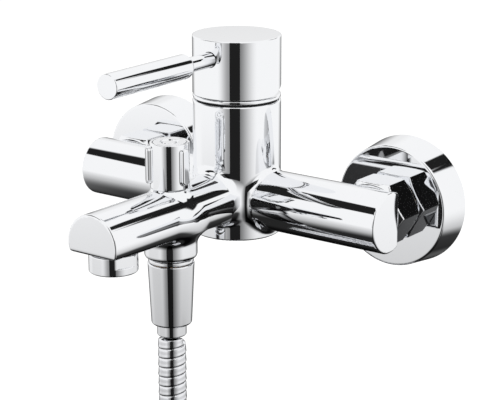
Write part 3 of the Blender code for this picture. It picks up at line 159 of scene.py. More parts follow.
def closed_mesh(
    name: str,
    rings: Grid,
    start: np.ndarray | None = None,
    end: np.ndarray | None = None,
) -> bpy.types.Object:
    """A closed skin over rings of points, with a pole at each end or joined end to end.

    Args:
        name: The object's name.
        rings: Points as (ring, place in the ring, xyz); each ring closes on itself.
        start: The pole before the first ring, or None to join the last ring to the first.
        end: The pole after the last ring.

    Returns:
        A new object at the origin, its faces outward and shaded smooth.
    """
    rows, columns = rings.shape[:2]
    points = rings.reshape(-1, 3)
    quads = grid_faces(rows, columns, start is None)
    fans = np.zeros((0, 3), int)
    if start is not None:
        poles = np.array([start, end], float)
        fans = np.concatenate(
            (
                fan_faces(0, columns, len(points))[:, ::-1],
                fan_faces(rows - 1, columns, len(points) + 1),
            )
        )
        points = np.concatenate((points, poles))
    halves = np.concatenate((quads[:, [0, 1, 2]], quads[:, [0, 2, 3]], fans))
    if not faces_out(points, halves):
        quads, fans = quads[:, ::-1], fans[:, ::-1]
    mesh = bpy.data.meshes.new(name)
    mesh.from_pydata(points.tolist(), [], quads.tolist() + fans.tolist())
    mesh.polygons.foreach_set("use_smooth", np.ones(len(mesh.polygons), bool))
    mesh.update()
    item = bpy.data.objects.new(name, mesh)
    bpy.context.scene.collection.objects.link(item)
    return item


def rounded(corners: Sequence[Point], steps: int = 5, ring: bool = False) -> np.ndarray:
    """An outline with arcs at its corners and a support point beside each arc.

    Each corner is (radius, height, rounding). An arc of the rounding's radius touches both
    sides of the corner; a rounding of zero leaves the corner as one point.

    Args:
        corners: The outline's corners in order.
        steps: Facets in each arc.
        ring: Whether the outline closes on its first corner.

    Returns:
        Points as (radius, height) rows.
    """
    places = np.array([c[:2] for c in corners], float)
    count = len(places)
    made: list[np.ndarray] = []
    for index, (_, _, radius) in enumerate(corners):
        here = places[index]
        inside = ring or 0 < index < count - 1
        if radius <= 0 or not inside:
            made.append(here[None])
            continue
        back = places[index - 1] - here
        ahead = places[(index + 1) % count] - here
        room = min(np.linalg.norm(back), np.linalg.norm(ahead))
        back, ahead = back / np.linalg.norm(back), ahead / np.linalg.norm(ahead)
        half = math.acos(float(np.clip(back @ ahead, -1, 1))) / 2
        reach = min(radius / math.tan(half), 0.48 * room)
        radius = reach * math.tan(half)
        middle = back + ahead
        centre = here + middle / np.linalg.norm(middle) * radius / math.sin(half)
        first, last = here + back * reach - centre, here + ahead * reach - centre
        sweep = math.pi - 2 * half
        share = np.linspace(0, 1, steps + 1)[:, None]
        arc = np.sin((1 - share) * sweep) * first + np.sin(share * sweep) * last
        arc /= math.sin(sweep)
        support = min(0.4 * radius, 0.49 * room - reach) if room > 2 * reach else 0
        before = here + back * (reach + max(support, 0))
        after = here + ahead * (reach + max(support, 0))
        rows = [centre + arc]
        if support > 0:
            rows = [before[None], centre + arc, after[None]]
        made.append(np.concatenate(rows))
    return np.concatenate(made)


def turned(
    name: str,
    outline: np.ndarray,
    centre: Point,
    axis: Axis = Axis.UP,
    sides: int = 96,
    ring: bool = False,
) -> bpy.types.Object:
    """A turned piece: each outline point (r, h) sweeps r(cos t, sin t) about the axis at h.

    Args:
        name: The object's name.
        outline: Points as (radius, height) rows; a solid's starts and ends on the axis.
        centre: The point where the axis has height zero.
        axis: The direction of height.
        sides: Facets round the axis.
        ring: Whether the outline closes on its first point.

    Returns:
        A new object.
    """
    first, second, third = axis.frame()
    t = np.linspace(0, TAU, sides, endpoint=False)
    round_dir = np.cos(t)[:, None] * first + np.sin(t)[:, None] * second
    body = outline if ring else outline[1:-1]
    base = np.array(centre, float)
    rings = base + body[:, :1, None] * round_dir[None] + (body[:, 1:, None] * third)
    if ring:
        return closed_mesh(name, rings)
    poles = [base + outline[k, 1] * third for k in (0, -1)]
    return closed_mesh(name, rings, *poles)


def carve(item: bpy.types.Object, tools: Sequence[bpy.types.Object], operation: str) -> None:
    """Apply exact Booleans to a piece and remove the tools.

    Args:
        item: The piece that changes.
        tools: Closed shapes to join or take away, in order.
        operation: "UNION" or "DIFFERENCE".
    """
    for tool in tools:
        step = item.modifiers.new("step", "BOOLEAN")
        step.operation = operation
        step.solver = "EXACT"
        step.object = tool
    graph = bpy.context.evaluated_depsgraph_get()
    made = bpy.data.meshes.new_from_object(item.evaluated_get(graph))
    item.modifiers.clear()
    old, item.data = item.data, made
    bpy.data.meshes.remove(old)
    for tool in tools:
        bpy.data.objects.remove(tool)
    made.polygons.foreach_set("use_smooth", np.ones(len(made.polygons), bool))
    made.set_sharp_from_angle(angle=SHARP_FROM)


def slab(
    name: str, low: Point, high: Point, tilt: float = 0.0, about: Point = (0, 0, 0)
) -> bpy.types.Object:
    """A box used as a cutting tool: eight corners, tilted about X through a point.

    Args:
        name: The object's name.
        low: Lowest corner, from the point it turns about.
        high: Highest corner.
        tilt: Turn about X in radians.
        about: The point it turns about.

    Returns:
        A new object.
    """
    pick = np.array([[(k >> s) & 1 for s in range(3)] for k in range(8)])
    corners = np.where(pick, np.array(high), np.array(low)).astype(float)
    c, s = math.cos(tilt), math.sin(tilt)
    turn = np.array(((1, 0, 0), (0, c, -s), (0, s, c)))
    corners = corners @ turn.T + np.array(about)
    sides = [(0, 2, 3, 1), (4, 5, 7, 6), (0, 1, 5, 4), (2, 6, 7, 3), (0, 4, 6, 2), (1, 3, 7, 5)]
    mesh = bpy.data.meshes.new(name)
    mesh.from_pydata(corners.tolist(), [], sides)
    mesh.update()
    item = bpy.data.objects.new(name, mesh)
    bpy.context.scene.collection.objects.link(item)
    return item


# --------------------------------------------------------------------------- finishes


def linear(code: str) -> tuple[float, float, float, float]:
    """An sRGB hex colour as linear RGBA, by the sRGB curve.

    Args:
        code: The colour, such as "#F4F5F7".

    Returns:
        Red, green, blue and an alpha of one.
    """
    parts = [int(code[k : k + 2], 16) / 255 for k in (1, 3, 5)]
    red, green, blue = (p / 12.92 if p <= 0.04045 else ((p + 0.055) / 1.055) ** 2.4 for p in parts)
    return red, green, blue, 1.0


def add_node(
    tree: bpy.types.NodeTree,
    kind: str,
    settings: dict[str, object] | None = None,
    **inputs: object,
) -> bpy.types.Node:
    """Add a shader node, set it up and link or set its inputs.

    Args:
        tree: The node tree.
        kind: The node's type name.
        settings: Properties of the node itself.
        **inputs: Input values or sockets, by input name with underscores, or by _number.

    Returns:
        The new node.
    """
    made = tree.nodes.new(kind)
    for key, value in (settings or {}).items():
        setattr(made, key, value)
    for key, value in inputs.items():
        socket = made.inputs[int(key[1:]) if key[1:].isdigit() else key.replace("_", " ")]
        if isinstance(value, bpy.types.NodeSocket):
            tree.links.new(value, socket)
        else:
            socket.default_value = value
    return made


@dataclass(frozen=True)
class Finish:
    """A surface finish: its common name, its record slot and its Principled values."""

    name: str
    slot: str
    colour: str
    metallic: float
    roughness: float
    grain_mm: float = 20.0
    grain_rise_mm: float = 0.002
    roughness_swing: float = 0.02

    def material(self) -> bpy.types.Material:
        """The finish's material, made once.

        Returns:
            The material.
        """
        made = bpy.data.materials.get(self.name)
        if made:
            return made
        made = bpy.data.materials.new(self.name)
        made.use_nodes = True
        tree = made.node_tree
        shader = tree.nodes["Principled BSDF"]
        shader.inputs["Base Color"].default_value = linear(self.colour)
        shader.inputs["Metallic"].default_value = self.metallic
        shader.inputs["Roughness"].default_value = self.roughness
        self.surface(tree, shader, add_node(tree, "ShaderNodeTexCoord").outputs["Object"])
        return made

    def surface(
        self, tree: bpy.types.NodeTree, shader: bpy.types.Node, place: bpy.types.NodeSocket
    ) -> None:
        """Roughness that drifts by a few hundredths and a faint rise and fall of the surface.

        Args:
            tree: The material's nodes.
            shader: Its Principled BSDF.
            place: Object coordinates, in metres.
        """
        wave = add_node(
            tree, "ShaderNodeTexNoise", Vector=place, Scale=1 / (self.grain_mm * MM), Detail=3.0
        )
        low = max(self.roughness - self.roughness_swing, 0.0)
        spread = add_node(
            tree,
            "ShaderNodeMapRange",
            _0=wave.outputs["Fac"],
            _1=0.3,
            _2=0.7,
            _3=low,
            _4=self.roughness + self.roughness_swing,
        )
        tree.links.new(spread.outputs[0], shader.inputs["Roughness"])
        bump = add_node(
            tree,
            "ShaderNodeBump",
            Height=wave.outputs["Fac"],
            Distance=self.grain_rise_mm * MM,
            Strength=1.0,
        )
        tree.links.new(bump.outputs["Normal"], shader.inputs["Normal"])


@dataclass(frozen=True)
class TurnedFinish(Finish):
    """A lathe-turned or brushed metal, with fine rings across its height."""

    ring_mm: float = 0.35

    def surface(
        self, tree: bpy.types.NodeTree, shader: bpy.types.Node, place: bpy.types.NodeSocket
    ) -> None:
        """Tool rings: noise stretched round the piece, drawn coarser than real to show.

        Args:
            tree: The material's nodes.
            shader: Its Principled BSDF.
            place: Object coordinates, in metres.
        """
        super().surface(tree, shader, place)
        squeeze = add_node(
            tree, "ShaderNodeMapping", _0=place, Scale=(40.0, 40.0, 1 / (self.ring_mm * MM))
        )
        rings = add_node(
            tree, "ShaderNodeTexNoise", Vector=squeeze.outputs[0], Scale=1.0, Detail=2.0
        )
        bump = add_node(
            tree, "ShaderNodeBump", Height=rings.outputs["Fac"], Distance=0.03 * MM, Strength=0.5
        )
        tree.links.new(bump.outputs["Normal"], shader.inputs["Normal"])


# Chrome plate over polished brass: a mirror with the faintest waviness of a buffed casting
CHROME = Finish("polished_chrome_plate", "chrome", "#F4F5F7", 1.0, 0.035, 22.0, 0.004, 0.012)
# Chrome on steel strip: the same mirror, a little duller from the rolling
SPIRAL = Finish("chromed_steel_spiral", "hose", "#ECEDF0", 1.0, 0.10, 6.0, 0.003, 0.03)
# Brass off the lathe: yellow, with fine tool rings that spread its highlights
BRASS = TurnedFinish("machined_brass", "brass", "#D9B36C", 1.0, 0.24)
# Stainless steel off the lathe: grey, with the same rings
STEEL = TurnedFinish("turned_stainless_steel", "steel", "#C9C8C6", 1.0, 0.26)
# Moulded nitrile rubber: near black, with a fine dull grain
RUBBER = Finish("moulded_nitrile_rubber", "rubber", "#242526", 0.0, 0.62, 0.8, 0.03, 0.08)
# Moulded acetal: milky, slightly waxy
ACETAL = Finish("moulded_acetal", "acetal", "#E6E6DF", 0.0, 0.38, 3.0, 0.02, 0.06)
# Alumina lapped flat: off-white, with an even soft shine
ALUMINA = Finish("lapped_alumina", "ceramic", "#EFEAE0", 0.0, 0.16, 2.0, 0.004, 0.04)
SLOT_FINISHES = {f.slot: f for f in (CHROME, SPIRAL, BRASS, STEEL, RUBBER, ACETAL, ALUMINA)}


def dress(item: bpy.types.Object, finish: Finish) -> bpy.types.Object:
    """Give a piece one finish.

    Args:
        item: The piece.
        finish: Its finish.

    Returns:
        The piece.
    """
    item.data.materials.clear()
    item.data.materials.append(finish.material())
    return item


def fit(item: bpy.types.Object, body: str, finish: Finish, *nodes: str) -> bpy.types.Object:
    """Finish a piece, hang it on its body and let it stand for its CAD nodes.

    Args:
        item: The piece.
        body: The CAD body that it moves with.
        finish: Its finish.
        *nodes: CAD nodes that it replaces.

    Returns:
        The piece.
    """
    dress(item, finish)
    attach(item, body)
    if nodes:
        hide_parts(*nodes)
    LOG.info("%s: %d faces on %s", item.name, len(item.data.polygons), body)
    return item


# --------------------------------------------------------------------------- shapes by distance


def rod_distance(
    points: Grid, centre: Point, axis: int, radius: float, low: float, high: float, edge: float
) -> np.ndarray:
    """Distance to a cylinder with rounded rims: the round meeting of its side and its ends.

    Args:
        points: Places, in millimetres.
        centre: A point on the axis; its component along the axis is not used.
        axis: 0, 1 or 2, the direction of the axis.
        radius: The cylinder's radius.
        low: Where it begins along the axis.
        high: Where it ends.
        edge: Radius of the rims.

    Returns:
        Signed distances, negative inside.
    """
    across = [k for k in range(3) if k != axis]
    offset = points[..., across] - np.array([centre[k] for k in across], points.dtype)
    side = np.sqrt((offset**2).sum(-1)) - radius
    along = points[..., axis]
    return meet(side, np.maximum(low - along, along - high), edge)


def meet(a: np.ndarray, b: np.ndarray, radius: float) -> np.ndarray:
    """Where two shapes overlap, their common edge rounded to an arc of the given radius."""
    outer = np.hypot(np.maximum(radius + a, 0), np.maximum(radius + b, 0))
    return np.minimum(-radius, np.maximum(a, b)) + outer


def blend_union(a: np.ndarray, b: np.ndarray, radius: float) -> np.ndarray:
    """Two shapes joined by a fillet, an arc of the given radius where they meet."""
    inner = np.hypot(np.maximum(radius - a, 0), np.maximum(radius - b, 0))
    return np.maximum(radius, np.minimum(a, b)) - inner


NEWTON_STEPS = 5
NEAR = 0.02  # millimetres, the reach of the slope that moves a point
SHADING_REACH = 0.05  # millimetres, the reach of the slope that shades it


def gradient(distance: Distance, points: Grid, reach: float) -> Grid:
    """Central differences of a distance over a small reach, in three directions."""
    steps = np.eye(3, dtype=points.dtype) * reach
    return np.stack([distance(points + s) - distance(points - s) for s in steps], -1) / (2 * reach)


def net_points(values: np.ndarray) -> tuple[np.ndarray, np.ndarray]:
    """Cells of a sampled distance that the surface crosses, and their numbers.

    Args:
        values: Signed distances on a regular grid.

    Returns:
        The cells' grid indices, and an array of the cells' numbers with -1 elsewhere.
    """
    inside = (values < 0).astype(np.int8)
    count = np.zeros([n - 1 for n in values.shape], np.int8)
    ends = (slice(None, -1), slice(1, None))
    for k in range(8):
        count += inside[ends[k & 1], ends[(k >> 1) & 1], ends[k >> 2]]
    crossed = (count > 0) & (count < 8)
    number = np.full(crossed.shape, -1, np.int64)
    number[crossed] = np.arange(int(crossed.sum()))
    return np.argwhere(crossed), number


def net_faces(values: np.ndarray, number: np.ndarray) -> np.ndarray:
    """A quad round every grid edge whose two ends lie on opposite sides of the surface.

    Args:
        values: Signed distances on a regular grid.
        number: The number of each crossed cell.

    Returns:
        Four cell numbers to a face, facing outward.
    """
    inside = values < 0
    quads = []
    for axis in range(3):
        first, second = (axis + 1) % 3, (axis + 2) % 3
        near = [slice(None)] * 3
        far = [slice(None)] * 3
        near[axis], far[axis] = slice(None, -1), slice(1, None)
        start, stop = inside[tuple(near)], inside[tuple(far)]
        where = np.argwhere(start != stop)
        back_first, back_second = np.zeros(3, int), np.zeros(3, int)
        back_first[first], back_second[second] = 1, 1
        cells = [where, where - back_first, where - back_first - back_second, where - back_second]
        quad = np.stack([number[tuple(c.T)] for c in cells], -1)
        flip = ~start[tuple(where.T)]
        quad[flip] = quad[flip][:, ::-1]
        quads.append(quad)
    return np.concatenate(quads)


def skin(name: str, distance: Distance, low: Point, high: Point, step: float) -> bpy.types.Object:
    """The surface where a distance is zero: a net of cells, each point then moved onto it.

    Each point p moves by -d(p) g(p) / |g(p)|^2, where g is the gradient, NEWTON_STEPS times,
    and the surface's true normal becomes its shading normal.

    Args:
        name: The object's name.
        distance: Signed distance of an array of places, all in millimetres.
        low: Lowest corner of the box that holds the shape.
        high: Highest corner.
        step: Size of a cell, in millimetres.

    Returns:
        A new object, closed and facing outward.
    """
    lines = [np.arange(a - 2 * step, b + 3 * step, step, dtype=np.float32) for a, b in zip(low, high)]
    values = distance(np.stack(np.meshgrid(*lines, indexing="ij"), -1))
    cells, number = net_points(values)
    points = np.stack([lines[k][0] + (cells[:, k] + 0.5) * step for k in range(3)], -1)
    for _ in range(NEWTON_STEPS):
        slope = gradient(distance, points, NEAR)
        steepness = (slope**2).sum(-1, keepdims=True).clip(0.1)
        points = points - distance(points)[:, None] * slope / steepness
    normals = gradient(distance, points, SHADING_REACH)
    normals /= np.linalg.norm(normals, axis=1, keepdims=True).clip(1e-6)
    mesh = bpy.data.meshes.new(name)
    mesh.from_pydata((points * MM).tolist(), [], net_faces(values, number).tolist())
    mesh.update()
    mesh.polygons.foreach_set("use_smooth", np.ones(len(mesh.polygons), bool))
    mesh.normals_split_custom_set_from_vertices(normals.tolist())
    item = bpy.data.objects.new(name, mesh)
    bpy.context.scene.collection.objects.link(item)
    return item


# --------------------------------------------------------------------------- the camera


@dataclass(frozen=True)
class Viewpoint:
    """The camera: a long lens a little above the mixer, to its right."""

    place: Point = (0.5135, -0.7292, 0.2440)
    target: Point = (0.01614, -0.05386, 0.0013)
    lens_mm: float = 127.3
    sensor_mm: float = 36.0

    def build(self) -> None:
        """Make the camera and turn it to its target."""
        data = bpy.data.cameras.new("view")
        data.lens, data.sensor_width = self.lens_mm, self.sensor_mm
        data.clip_end = 100.0
        camera = bpy.data.objects.new("view", data)
        camera.location = self.place
        look = Vector(self.target) - Vector(self.place)
        camera.rotation_euler = look.to_track_quat("-Z", "Y").to_euler()
        bpy.context.scene.collection.objects.link(camera)
        bpy.context.scene.camera = camera


# --------------------------------------------------------------------------- the hose


@dataclass
class Hose:
    """The shower hose: a chromed spiral tube, its coil, its far fittings and the coil's ties."""

    radius: float = 7.0 * MM
    length: float = 1.600
    top: float = -60.0 * MM
    lead: tuple[tuple[float, float], ...] = (
        (0, 0), (0, 12), (0, 24), (0.3, 37), (2.3, 51), (8.2, 65.8), (17.8, 78.4), (32.3, 89.2)
    )  # fmt: skip
    coil_radius: float = 70.0 * MM
    coil_below: float = 151.3 * MM
    coil_start: float = math.radians(62.5)
    coil_turns: int = 3
    coil_pitch: float = 14.4 * MM
    spiral: float = 4.9 * MM
    sides: int = 20
    strap_thick: float = 1.2 * MM
    strap_width: float = 12.0 * MM
    strap_clear: float = 1.9 * MM
    strap_corner: float = 5.0 * MM
    strap_edge: float = 0.4 * MM
    strap_degrees: tuple[float, float] = (160.0, 270.0)
    band: tuple[tuple[float, float], ...] = (
        (0.00, 6.34), (0.04, 6.62), (0.12, 6.76), (0.28, 6.82), (0.45, 6.84), (0.58, 6.87),
        (0.68, 6.95), (0.77, 7.00), (0.86, 6.97), (0.93, 6.84), (0.97, 6.60),
    )  # fmt: skip

    @cached_property
    def coil_z(self) -> float:
        """Height of the coil's middle."""
        return self.top - self.coil_below

    @cached_property
    def last_y(self) -> float:
        """How far from the wall the coil's last turn ends."""
        turns = self.coil_turns + self.coil_start / TAU
        return PLACE.diverter_y + self.coil_pitch * turns

    def lead_points(self, steps: int = 8) -> np.ndarray:
        """Points of a Catmull-Rom curve through the lead's route, down to the coil.

        Between b and c, with a before and d after, a point is
        b + (c - a) t / 2 + (2a - 5b + 4c - d) t^2 / 2 + (3b - a - 3c + d) t^3 / 2.

        Args:
            steps: Points to each stretch of the route.

        Returns:
            The points, without the route's last one.
        """
        route = np.array(
            [(x * MM, PLACE.diverter_y, self.top - drop * MM) for x, drop in self.lead]
        )
        first, last = 2 * route[0] - route[1], 2 * route[-1] - route[-2]
        ends = np.concatenate((first[None], route, last[None]))
        t = np.linspace(0, 1, steps, endpoint=False)[:, None]
        made = []
        for a, b, c, d in zip(ends, ends[1:], ends[2:], ends[3:]):
            bend = (2 * a - 5 * b + 4 * c - d) * t**2 + (3 * b - a - 3 * c + d) * t**3
            made.append(b + (c - a) * (t / 2) + bend / 2)
        return np.concatenate(made)

    @cached_property
    def route(self) -> np.ndarray:
        """The centreline: the lead, the coil's turns clockwise from the front, and the tail.

        The coil's point at angle a is (R cos a, y, z + R sin a); y moves one pitch towards the
        wall in each turn.

        Returns:
            Points close enough together to measure the hose by.
        """
        lead = self.lead_points()
        sweep = self.coil_start + TAU * self.coil_turns
        a = np.linspace(0, sweep, 300)
        coil = np.stack(
            (
                self.coil_radius * np.cos(self.coil_start - a),
                PLACE.diverter_y + self.coil_pitch * a / TAU,
                self.coil_z + self.coil_radius * np.sin(self.coil_start - a),
            ),
            -1,
        )
        done = sum(
            np.linalg.norm(np.diff(part, axis=0), axis=1).sum()
            for part in (np.concatenate((lead, coil[:1])), coil)
        )
        drop = np.linspace(0, self.length - done, 12)[1:]
        tail = coil[-1] + np.stack((0 * drop, 0 * drop, -drop), -1)
        return np.concatenate((lead, coil, tail))

    def frames(self) -> tuple[np.ndarray, np.ndarray, np.ndarray, np.ndarray]:
        """Distances along the route, with its points and two directions across it.

        Returns:
            Distances, points, and two unit vectors at each, the second turned a quarter.
        """
        points = self.route
        run = np.concatenate(([0], np.cumsum(np.linalg.norm(np.diff(points, axis=0), axis=1))))
        fine = np.linspace(0, run[-1], 1600)
        points = np.stack([np.interp(fine, run, points[:, k]) for k in range(3)], -1)
        kernel = np.array((1, 4, 6, 4, 1)) / 16
        for k in range(3):
            padded = np.concatenate((points[:2, k], points[:, k], points[-2:, k]))
            points[:, k] = np.convolve(padded, kernel, "valid")
        tangent = np.gradient(points, axis=0)
        tangent /= np.linalg.norm(tangent, axis=1, keepdims=True)
        first = np.empty_like(points)
        here = np.array((1.0, 0.0, 0.0))
        for index, along in enumerate(tangent):
            here = here - along * (here @ along)
            here /= np.linalg.norm(here)
            first[index] = here
        return fine, points, first, np.cross(tangent, first)

    def tube(self) -> bpy.types.Object:
        """The spiral tube, its grid sheared so that every row follows the strip's helix.

        A point in row i and place j lies s = i-th row + pitch j / sides along the route, and
        the seam joins the last place of a row to the first place one turn further on.

        Returns:
            A new object, closed at both ends.
        """
        phases, radii = np.array(self.band).T
        turns = int(self.length / self.spiral) - 1
        row_s = (np.arange(turns)[:, None] + phases).ravel() * self.spiral
        rows, turn = len(row_s), len(phases)
        j = np.arange(self.sides)
        s = row_s[:, None] + self.spiral * j / self.sides
        s *= self.length / s.max()
        angle = TAU * j / self.sides
        radius = np.tile(radii * MM, turns)[:, None]
        fine, *tracks = self.frames()
        centre, first, second = (
            np.stack([np.interp(s, fine, track[:, k]) for k in range(3)], -1) for track in tracks
        )
        points = centre + radius[..., None] * (
            np.cos(angle)[None, :, None] * first + np.sin(angle)[None, :, None] * second
        )
        number = np.arange(rows * self.sides).reshape(rows, self.sides)
        beside = np.full((rows, self.sides), -1)
        beside[:, :-1] = number[:, 1:]
        beside[:-turn, -1] = number[turn:, 0]
        quads = np.stack((number[:-1], beside[:-1], beside[1:], number[1:]), -1).reshape(-1, 4)
        quads = quads[(quads >= 0).all(1)]
        start = np.concatenate((number[0], number[turn:0:-1, 0]))
        end = np.concatenate((number[-1], number[-2 : -turn - 2 : -1, -1]))
        poles = len(points.reshape(-1, 3)) + np.arange(2)
        fans = [
            np.stack((np.roll(loop, -1), loop, np.full(len(loop), pole)), -1)
            for loop, pole in ((start, poles[0]), (end[::-1], poles[1]))
        ]
        ends = np.stack((centre[0, 0], centre[-1, -1]))
        every = np.concatenate((points.reshape(-1, 3), ends))
        mesh = bpy.data.meshes.new("shower_hose")
        faces = quads.tolist() + np.concatenate(fans).tolist()
        mesh.from_pydata(every.tolist(), [], faces)
        mesh.validate()
        mesh.polygons.foreach_set("use_smooth", np.ones(len(mesh.polygons), bool))
        item = bpy.data.objects.new("shower_hose", mesh)
        bpy.context.scene.collection.objects.link(item)
        return item

    def tie(self, index: int, angle: float) -> bpy.types.Object:
        """A rubber strap round the coil's section, at an angle round the coil.

        Args:
            index: The tie's number.
            angle: Its place, from +X towards +Z.

        Returns:
            A new object.
        """
        low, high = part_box(f"coil_tie_{index}")
        depth = high[1] - low[1]
        middle_y = (high[1] + low[1]) / 2
        corner, half_w, edge = self.strap_corner, self.strap_width / 2, self.strap_edge
        a = np.linspace(0, TAU, 72, endpoint=False)
        out = np.stack((np.cos(a), np.sin(a)), -1)
        reach = np.array((self.radius + self.strap_clear, depth / 2)) - corner
        section = rounded(
            [
                (-self.strap_thick, -half_w, edge),
                (0, -half_w, edge),
                (0, half_w, edge),
                (-self.strap_thick, half_w, edge),
            ],
            3,
            ring=True,
        )
        plane = (np.sign(out) * reach)[:, None] + out[:, None] * (corner + section[None, :, :1])
        radial = np.array((math.cos(angle), 0, math.sin(angle)))
        across = np.array((-math.sin(angle), 0, math.cos(angle)))
        base = np.array((0, middle_y, self.coil_z)) + radial * self.coil_radius
        points = (
            base
            + plane[..., :1] * radial
            + plane[..., 1:] * np.array((0.0, 1.0, 0.0))
            + section[None, :, 1:] * across
        )
        return closed_mesh(f"coil_strap_{index}", points)

    def build(self) -> None:
        hose = fit(self.tube(), "mixer", SPIRAL, "hose_lead", "hose_coil", "hose_tail")
        ties = [
            fit(self.tie(k + 1, math.radians(a)), "mixer", RUBBER, f"coil_tie_{k + 1}")
            for k, a in enumerate(self.strap_degrees)
        ]
        end = (self.coil_radius, self.last_y)
        low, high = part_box("hose_end_nut")
        nut = FITTINGS.nut("hose_far_nut", (*end, low[2]), Axis.UP, high[2] - low[2])
        fit(nut, "mixer", CHROME, "hose_end_nut")
        low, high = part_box("hose_end_ferrule")
        sleeve = FITTINGS.ferrule("hose_far_ferrule", (*end, low[2]), Axis.UP, high[2] - low[2])
        fit(sleeve, "mixer", CHROME, "hose_end_ferrule")
        self.route.tolist()


@dataclass(frozen=True)
class Fittings:
    """The conical nut and the ferrule that each end of the hose has."""

    mouth: float = 11.4 * MM
    mouth_in: float = 0.1 * MM
    band: float = 2.2 * MM
    foot: float = 9.9 * MM
    foot_round: float = 2.4 * MM
    thread: float = 9.7 * MM
    thread_deep: float = 15.6 * MM
    neck: float = 7.6 * MM
    flange: float = 9.2 * MM
    flange_thick: float = 2.0 * MM
    sleeve: float = 7.2 * MM
    bore: float = 4.4 * MM

    def nut(self, name: str, centre: Point, axis: Axis, length: float) -> bpy.types.Object:
        """A conical nut: wide at height 0, its foot a soft round at the far end.

        Args:
            name: The object's name.
            centre: The middle of its wide end.
            axis: The way that it narrows.
            length: From its wide end to its foot.

        Returns:
            A new object, with its thread's bore and its narrow neck hole.
        """
        outline = [
            (self.thread, 0, 0.3 * MM),
            (self.mouth, 0, 0.5 * MM),
            (self.mouth - self.mouth_in, self.band, 0.4 * MM),
            (self.foot, length, self.foot_round),
            (self.neck, length, 0.3 * MM),
            (self.neck, self.thread_deep, 0.2 * MM),
            (self.thread, self.thread_deep, 0.2 * MM),
        ]
        return turned(name, rounded(outline, ring=True), centre, axis, 96, ring=True)

    def ferrule(self, name: str, centre: Point, axis: Axis, length: float) -> bpy.types.Object:
        """A ferrule: a flange at height 0 and a sleeve over the spiral's end.

        Args:
            name: The object's name.
            centre: The middle of its flange.
            axis: The way that its sleeve points.
            length: From the flange to the sleeve's end.

        Returns:
            A new object.
        """
        outline = [
            (self.bore, 0, 0.2 * MM),
            (self.flange, 0, 0.3 * MM),
            (self.flange, self.flange_thick, 0.3 * MM),
            (self.sleeve, self.flange_thick, 0.2 * MM),
            (self.sleeve, length, 0.6 * MM),
            (self.bore, length, 0.2 * MM),
        ]
        return turned(name, rounded(outline, ring=True), centre, axis, 80, ring=True)


FITTINGS = Fittings()


# --------------------------------------------------------------------------- the casting


